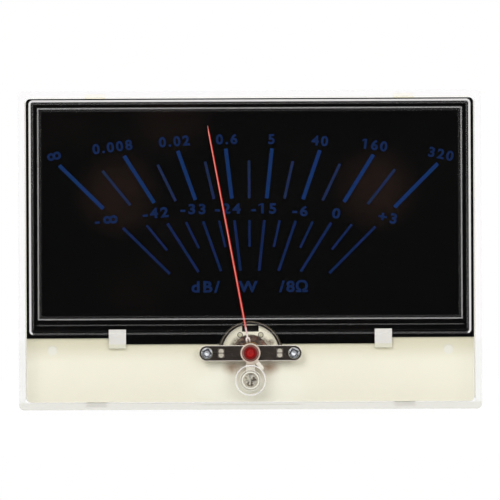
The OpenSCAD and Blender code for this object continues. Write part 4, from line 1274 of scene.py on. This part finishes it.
@dataclass
class Needle:
    """Drawn tube of the needle, flattened at its tip."""

    root: float = 4.6  # distance of its foot from the axis
    root_half: float = 0.36  # half width at the foot
    tip_half: float = 0.25  # half width at the tip
    deep: float = 0.13  # half of its depth
    foot_end: Point = (0.35, 12.0)  # share of the section at the foot, and its growth from there
    tip_end: Point = (0.2, 30.0)  # the same at the tip
    steps: int = 24

    def build(self) -> None:
        """Draws the needle over its CAD blade."""
        low, high = box("pointer")
        tip = Vector((low.x + self.tip_half, 0, high.z))
        foot = AXIS + (tip - AXIS).normalized() * self.root
        depth = Vector((0, low.y + self.deep * 0.6, 0))
        (foot_share, foot_growth), (tip_share, tip_growth) = self.foot_end, self.tip_end
        path, radii = [], []
        for i in range(self.steps + 1):
            share = i / self.steps
            path.append(foot.lerp(tip, share) + depth)
            half = self.root_half + (self.tip_half - self.root_half) * share
            ends = min(1.0, foot_share + share * foot_growth, tip_share + (1 - share) * tip_growth)
            radii.append((half * ends, self.deep * ends))
        needle = Piece("needle_tube", Body.COIL, ["pointer"])
        needle.tube(path, radii, 16)
        needle.ride()


@dataclass
class HolderArm:
    """Folded arm that carries the needle: a hub, a narrow arch and a tongue."""

    half: float = 0.4  # half width of the arch, to the middle of its legs
    foot: float = 0.8  # distance from the axis at which the legs start
    shoulder: float = 4.1  # distance at which the arch starts
    leg: Point = (0.27, 0.14)  # half width and half depth of a leg
    tongue: float = 0.24  # half width of the tongue
    bore: float = 0.36  # radius of the hole for the staff
    rim: float = 1.0  # radius of the hub
    bevel: float = 0.06
    short: float = 0.25  # how far the tongue ends before the blade's corner

    def build(self) -> None:
        """Bends the arm over its CAD blade."""
        low, high = box("pointer_holder")
        turn = Matrix.Rotation(-LEAN, 4, "Y")
        reach = (Vector((low.x, 0, high.z)) - AXIS).length - self.short

        def spot(aside: float, along: float) -> Vector:
            """Place of a point of the arm."""
            return AXIS + turn @ Vector((aside, low.y + self.leg[1], along))

        arm = Piece("holder_arm", Body.COIL, ["pointer_holder"])
        rise = [self.foot + (self.shoulder - self.foot) * i / 6 for i in range(6)]
        arch = [math.pi * i / 12 for i in range(13)]
        bends = [spot(-self.half, along) for along in rise]
        bends += [
            spot(-self.half * math.cos(a), self.shoulder + self.half * math.sin(a)) for a in arch
        ]
        bends += [spot(self.half, along) for along in reversed(rise)]
        arm.tube(bends, [self.leg] * len(bends))
        crown = self.shoulder + self.half
        tongue = [spot(0.0, crown + (reach - crown) * i / 8) for i in range(9)]
        shares = [min(1.0, 0.4 + (8 - i) * 0.3) for i in range(9)]
        arm.tube(tongue, [(self.tongue * share, self.leg[1]) for share in shares])
        inner, outer = self.rim - self.bevel, self.rim
        hub = [
            (self.bore, high.y), (self.bore, low.y), (inner, low.y), (outer, low.y + self.bevel),
            (outer, high.y - self.bevel), (inner, high.y),
        ]
        arm.lathe(hub, AXIS, 40)
        arm.ride()


@dataclass
class ScrewFaces:
    """Domed bridge screws with a four-cornered recess."""

    recess: float = 0.62  # half width of the recess as a share of the head's radius
    dome: float = 0.18  # height of the dome
    dip: float = 0.5  # depth of the recess
    slope: float = 0.09  # width of its slanted walls as a share of the head's radius
    brim: Point = (0.86, 0.16)  # share of that radius at which the rim bends, and how far it does
    shank: float = 0.95  # radius of the shank
    spokes: int = 96
    circles: int = 26

    def relief(self, share: float, angle: float) -> float:
        """Height of the face over its rim.

        Args:
            share: Distance from the middle as a share of the head's radius.
            angle: Turn from a side of the recess in radians.

        Returns:
            The height.
        """
        across = share * max(abs(math.cos(angle)), abs(math.sin(angle)))
        press = min(max((self.recess - across) / self.slope, 0.0), 1.0)
        start, bend = self.brim
        dome = self.dome * (1 - share**2) - bend * max(0.0, share - start) / (1 - start)
        return dome - self.dip * press * (1 - 0.5 * share)

    def build(self) -> None:
        """Makes both bridge screws in place of the plain ones."""
        low, high = box("bridge_screws")
        under, rim = box("bridge")[0].y, low.y + self.dome
        radius, shank = (high.z - low.z) / 2, self.shank
        back = (radius, under), (shank, under), (shank, high.y - shank / 2), (shank / 2, high.y)
        screws = Piece("star_screws", Body.CASE, ["bridge_screws"])
        for x, turn in ((low.x + radius, 0.5), (high.x - radius, 1.1)):
            at = Vector((x, 0, (low.z + high.z) / 2))
            middle, = screws.corners([(at.x, rim - self.relief(0.0, 0.0), at.z)])
            rings = []
            for k in range(self.circles):
                share = ((k + 1) / self.circles) ** 0.9
                rings.append(screws.circle(at, radius * share, rim, self.spokes))
                for i, corner in enumerate(rings[-1]):
                    corner.co.y -= self.relief(share, math.tau * i / self.spokes - turn)
            for i in range(self.spokes):
                screws.made.faces.new((middle, rings[0][i - 1], rings[0][i]))
            rings += [screws.circle(at, r, y, self.spokes) for r, y in back]
            screws.skin(rings)
            screws.made.faces.new(rings[-1])
        screws.ride()


@dataclass
class LeadWires:
    """Fine wires from the winding to the hairsprings' collets."""

    thick: float = 0.09  # radius of a wire

    def build(self) -> None:
        """Bends one wire on each side of the coil's front staff."""
        start, end = box("coil_winding")[0].y, box("front_hairspring")[1].y + 0.05
        turn = Matrix.Rotation(-LEAN, 4, "Y")
        wires = Piece("lead_wires", Body.COIL)
        for side in (-1, 1):
            bends = [
                Vector((side * x, y, z)) for x, y, z in (
                    (2.9, start - 0.27, 0.4), (2.7, start - 0.36, 0.8), (2.2, start - 0.8, 1.35),
                    (1.6, start - 2.2, 1.2), (0.9, end + 0.5, 0.6), (0.62, end, 0.25),
                )
            ]
            path = [a.lerp(b, k / 4) for a, b in zip(bends, bends[1:]) for k in range(4)]
            path.append(bends[-1])
            for _ in range(3):
                path[1:-1] = [(a + b * 2 + c) / 4 for a, b, c in zip(path, path[1:], path[2:])]
            radii = [(self.thick, self.thick)] * len(path)
            wires.tube([AXIS + turn @ point for point in path], radii, 8)
        wires.ride()


@dataclass
class CoilDisc:
    """Varnished paper disc on the front of the coil."""

    inner: float = 1.3  # radius of its hole
    outer: float = 5.05
    thick: float = 0.16
    lift: float = 0.12  # distance of its back from the winding
    bevel: float = 0.04

    def build(self) -> None:
        """Cuts the disc."""
        back = box("coil_winding")[0].y - self.lift
        front, bevel = back - self.thick, self.bevel
        disc = Piece("coil_disc", Body.COIL, smooth=False)
        profile = [
            (self.inner, back), (self.inner, front + bevel), (self.inner + bevel, front),
            (self.outer - bevel, front), (self.outer, front + bevel), (self.outer, back),
        ]
        disc.lathe(profile, AXIS, 96)
        disc.ride()


@dataclass
class BoardDetails:
    """Tracks and solder joints on the lamp board."""

    half: float = 0.65  # half width of a track
    high: float = 0.04  # height of a track
    row: float = 3.6  # distance of the two long tracks from the board's middle
    margin: float = 7.5  # distance of a long track's ends from the board's edge
    past: float = 0.6  # distance of the resistors' tracks from the resistors
    pin: float = 0.5  # radius of a pin
    cone: tuple[Point, ...] = (  # radius of the solder at heights over the board
        (1.7, 0), (1.55, 0.25), (1.15, 0.62), (0.8, 0.95), (0.6, 1.5), (0.5, 1.8)
    )

    def build(self) -> None:
        """Adds the tracks, and a cone of solder round each pin."""
        board_low, board_high = box("lamp_board")
        back, z = board_high.y, (board_low.z + board_high.z) / 2
        pin_x = box("lamp_terminals")[1].x - 2 * self.pin
        left, right = (corner.x for corner in box("lamp_resistors"))
        upper, lower, reach = z + self.row, z - self.row, board_high.x - self.margin
        half = self.half
        bars = [(-reach, reach, end - half, end + half) for end in (upper, lower)]
        ends = (
            (-pin_x, upper), (pin_x, lower), (left - self.past, upper), (right + self.past, lower)
        )
        bars += [(x - half, x + half, min(z, end), max(z, end)) for x, end in ends]
        tracks = Piece("board_tracks", Body.CASE, smooth=False)
        for low_x, high_x, low_z, high_z in bars:
            middle = Vector((low_x + high_x, 2 * back + self.high, low_z + high_z)) / 2
            size = Matrix.Diagonal((high_x - low_x, self.high, high_z - low_z, 1))
            bmesh.ops.create_cube(tracks.made, size=1, matrix=Matrix.Translation(middle) @ size)
        tracks.ride()
        joints = Piece("solder_joints", Body.CASE)
        for x in (-pin_x, pin_x):
            profile = [(self.pin, back)] + [(radius, back + y) for radius, y in self.cone]
            joints.lathe(profile, Vector((x, 0, z)), 32)
        joints.ride()


class FloorWhite(Finish):
    """Pale floor that is white where the camera sees it."""

    @property
    def surface(self) -> Signal:
        """Shader of the floor."""
        seen, mirrored, through = self.rays
        y = self.axes[1]
        shown = seen.at_least(mirrored * y.rise(-800, -300)).at_least(through)
        front = mirrored * y.rise(100, -50) * 0.85
        dark, pale = (self.signal("BsdfDiffuse", {"Color": 3 * (tone,)}) for tone in (0.04, 0.86))
        white = self.signal("Emission", {"Color": (1, 1, 1), "Strength": 1.04})
        return self.blend(front, self.blend(shown * 0.9, pale, white), dark)


class Surroundings(Graph):
    """Soft white light, with a dark room in front of the window."""

    @cached_property
    def owner(self) -> bpy.types.World:
        """The world."""
        return bpy.data.worlds.new("studio")

    def light(self, color: Tint, strength: float) -> Signal:
        """Light of one colour from all around."""
        return self.signal("Background", {"Color": color, "Strength": strength})

    def build(self) -> None:
        """Fills the scene's world."""
        bpy.context.scene.world = self.owner
        seen, mirrored, through = self.rays
        heading = self.signal("TexCoord", {}, "Generated")
        y = self.signal("SeparateXYZ", {0: heading}, "Y")
        dark = (y * -1.0).rise(0.55, 0.95) * 0.985
        room = self.light(self.paint((1, 1, 1), (dark, (0, 0, 0))), 1.0)
        lamps, white = self.light((1, 1, 1), 0.48), self.light((1, 1, 1), 1.0)
        lit = self.blend(seen.at_least(through), lamps, white)
        self.make("OutputWorld", {0: self.blend(mirrored, lit, room)})


@dataclass
class Studio:
    """Floor, surroundings, lamps and camera, all placed in metres."""

    width: float = 500 * 0.28942 * MM  # what the picture shows: its pixels, and a pixel's size
    middle_z: float = 46.16 * MM  # height of the picture's middle
    distance: float = 2.0  # of the camera from the window
    window: float = 2.5 * MM  # depth at which the window counts, behind the cover's front
    clip: Point = (0.05, 50.0)  # nearest and farthest distance that the camera sees
    roll: float = math.radians(-0.25)
    sensor: float = 36.0
    floor: Point = (0.45, -0.00002)  # half width and height of the floor
    lamps: tuple[tuple[Vector, float, float], ...] = (  # place, side and power in watts
        (Vector((-0.6, -1.5, 0.8)), 0.9, 12.6),
        (Vector((0.7, -1.5, 0.45)), 1.1, 8.9),
        (Vector((0.3, 1.3, 1.2)), 1.0, 11.0),
    )

    def aim(
        self, made: bpy.types.Object, place: Vector, heading: Vector, roll: float = 0.0
    ) -> None:
        """Puts a lamp or the camera in its place, facing along a heading."""
        made.location, made.rotation_mode = place, "QUATERNION"
        made.rotation_quaternion = heading.to_track_quat("-Z", "Y") @ Quaternion((0, 0, 1), roll)

    def build(self) -> None:
        """Sets up everything around the meter."""
        scene = bpy.context.scene
        scene.view_settings.view_transform = "Standard"
        camera = bpy.data.cameras.new("camera")
        camera.sensor_width = self.sensor
        camera.lens = self.sensor * self.distance / self.width
        camera.clip_start, camera.clip_end = self.clip
        window_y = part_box("front_cover")[0].y + self.window
        place = Vector((0, window_y - self.distance, self.middle_z))
        scene.camera = put("camera", camera)
        self.aim(scene.camera, place, Vector((0, 1, 0)), self.roll)
        half, height = self.floor
        mesh = bpy.data.meshes.new("floor")
        corners = ((-half, -half), (half, -half), (half, half), (-half, half))
        mesh.from_pydata([(x, y, height) for x, y in corners], [], [range(4)])
        mesh.materials.append(FloorWhite("floor", "").material)
        put("floor", mesh)
        Surroundings().build()
        for place, side, power in self.lamps:
            lamp = bpy.data.lights.new("lamp", "AREA")
            lamp.shape = "SQUARE"
            lamp.size = side
            lamp.energy = power
            self.aim(put("lamp", lamp), place, Vector((0, 0, self.middle_z)) - place)
        log.info("studio: camera %.1f m away", self.distance)


def main() -> None:
    """Builds the whole scene in order."""
    logging.basicConfig(level=logging.INFO, format="%(name)s: %(message)s")
    parts = (
        Studio, CarriedNodes, ScaleMarks, DialNumbers, Needle, HolderArm, ScrewFaces, LeadWires,
        CoilDisc, BoardDetails,
    )
    for part in parts:
        part().build()


if __name__ == "__main__":
    main()
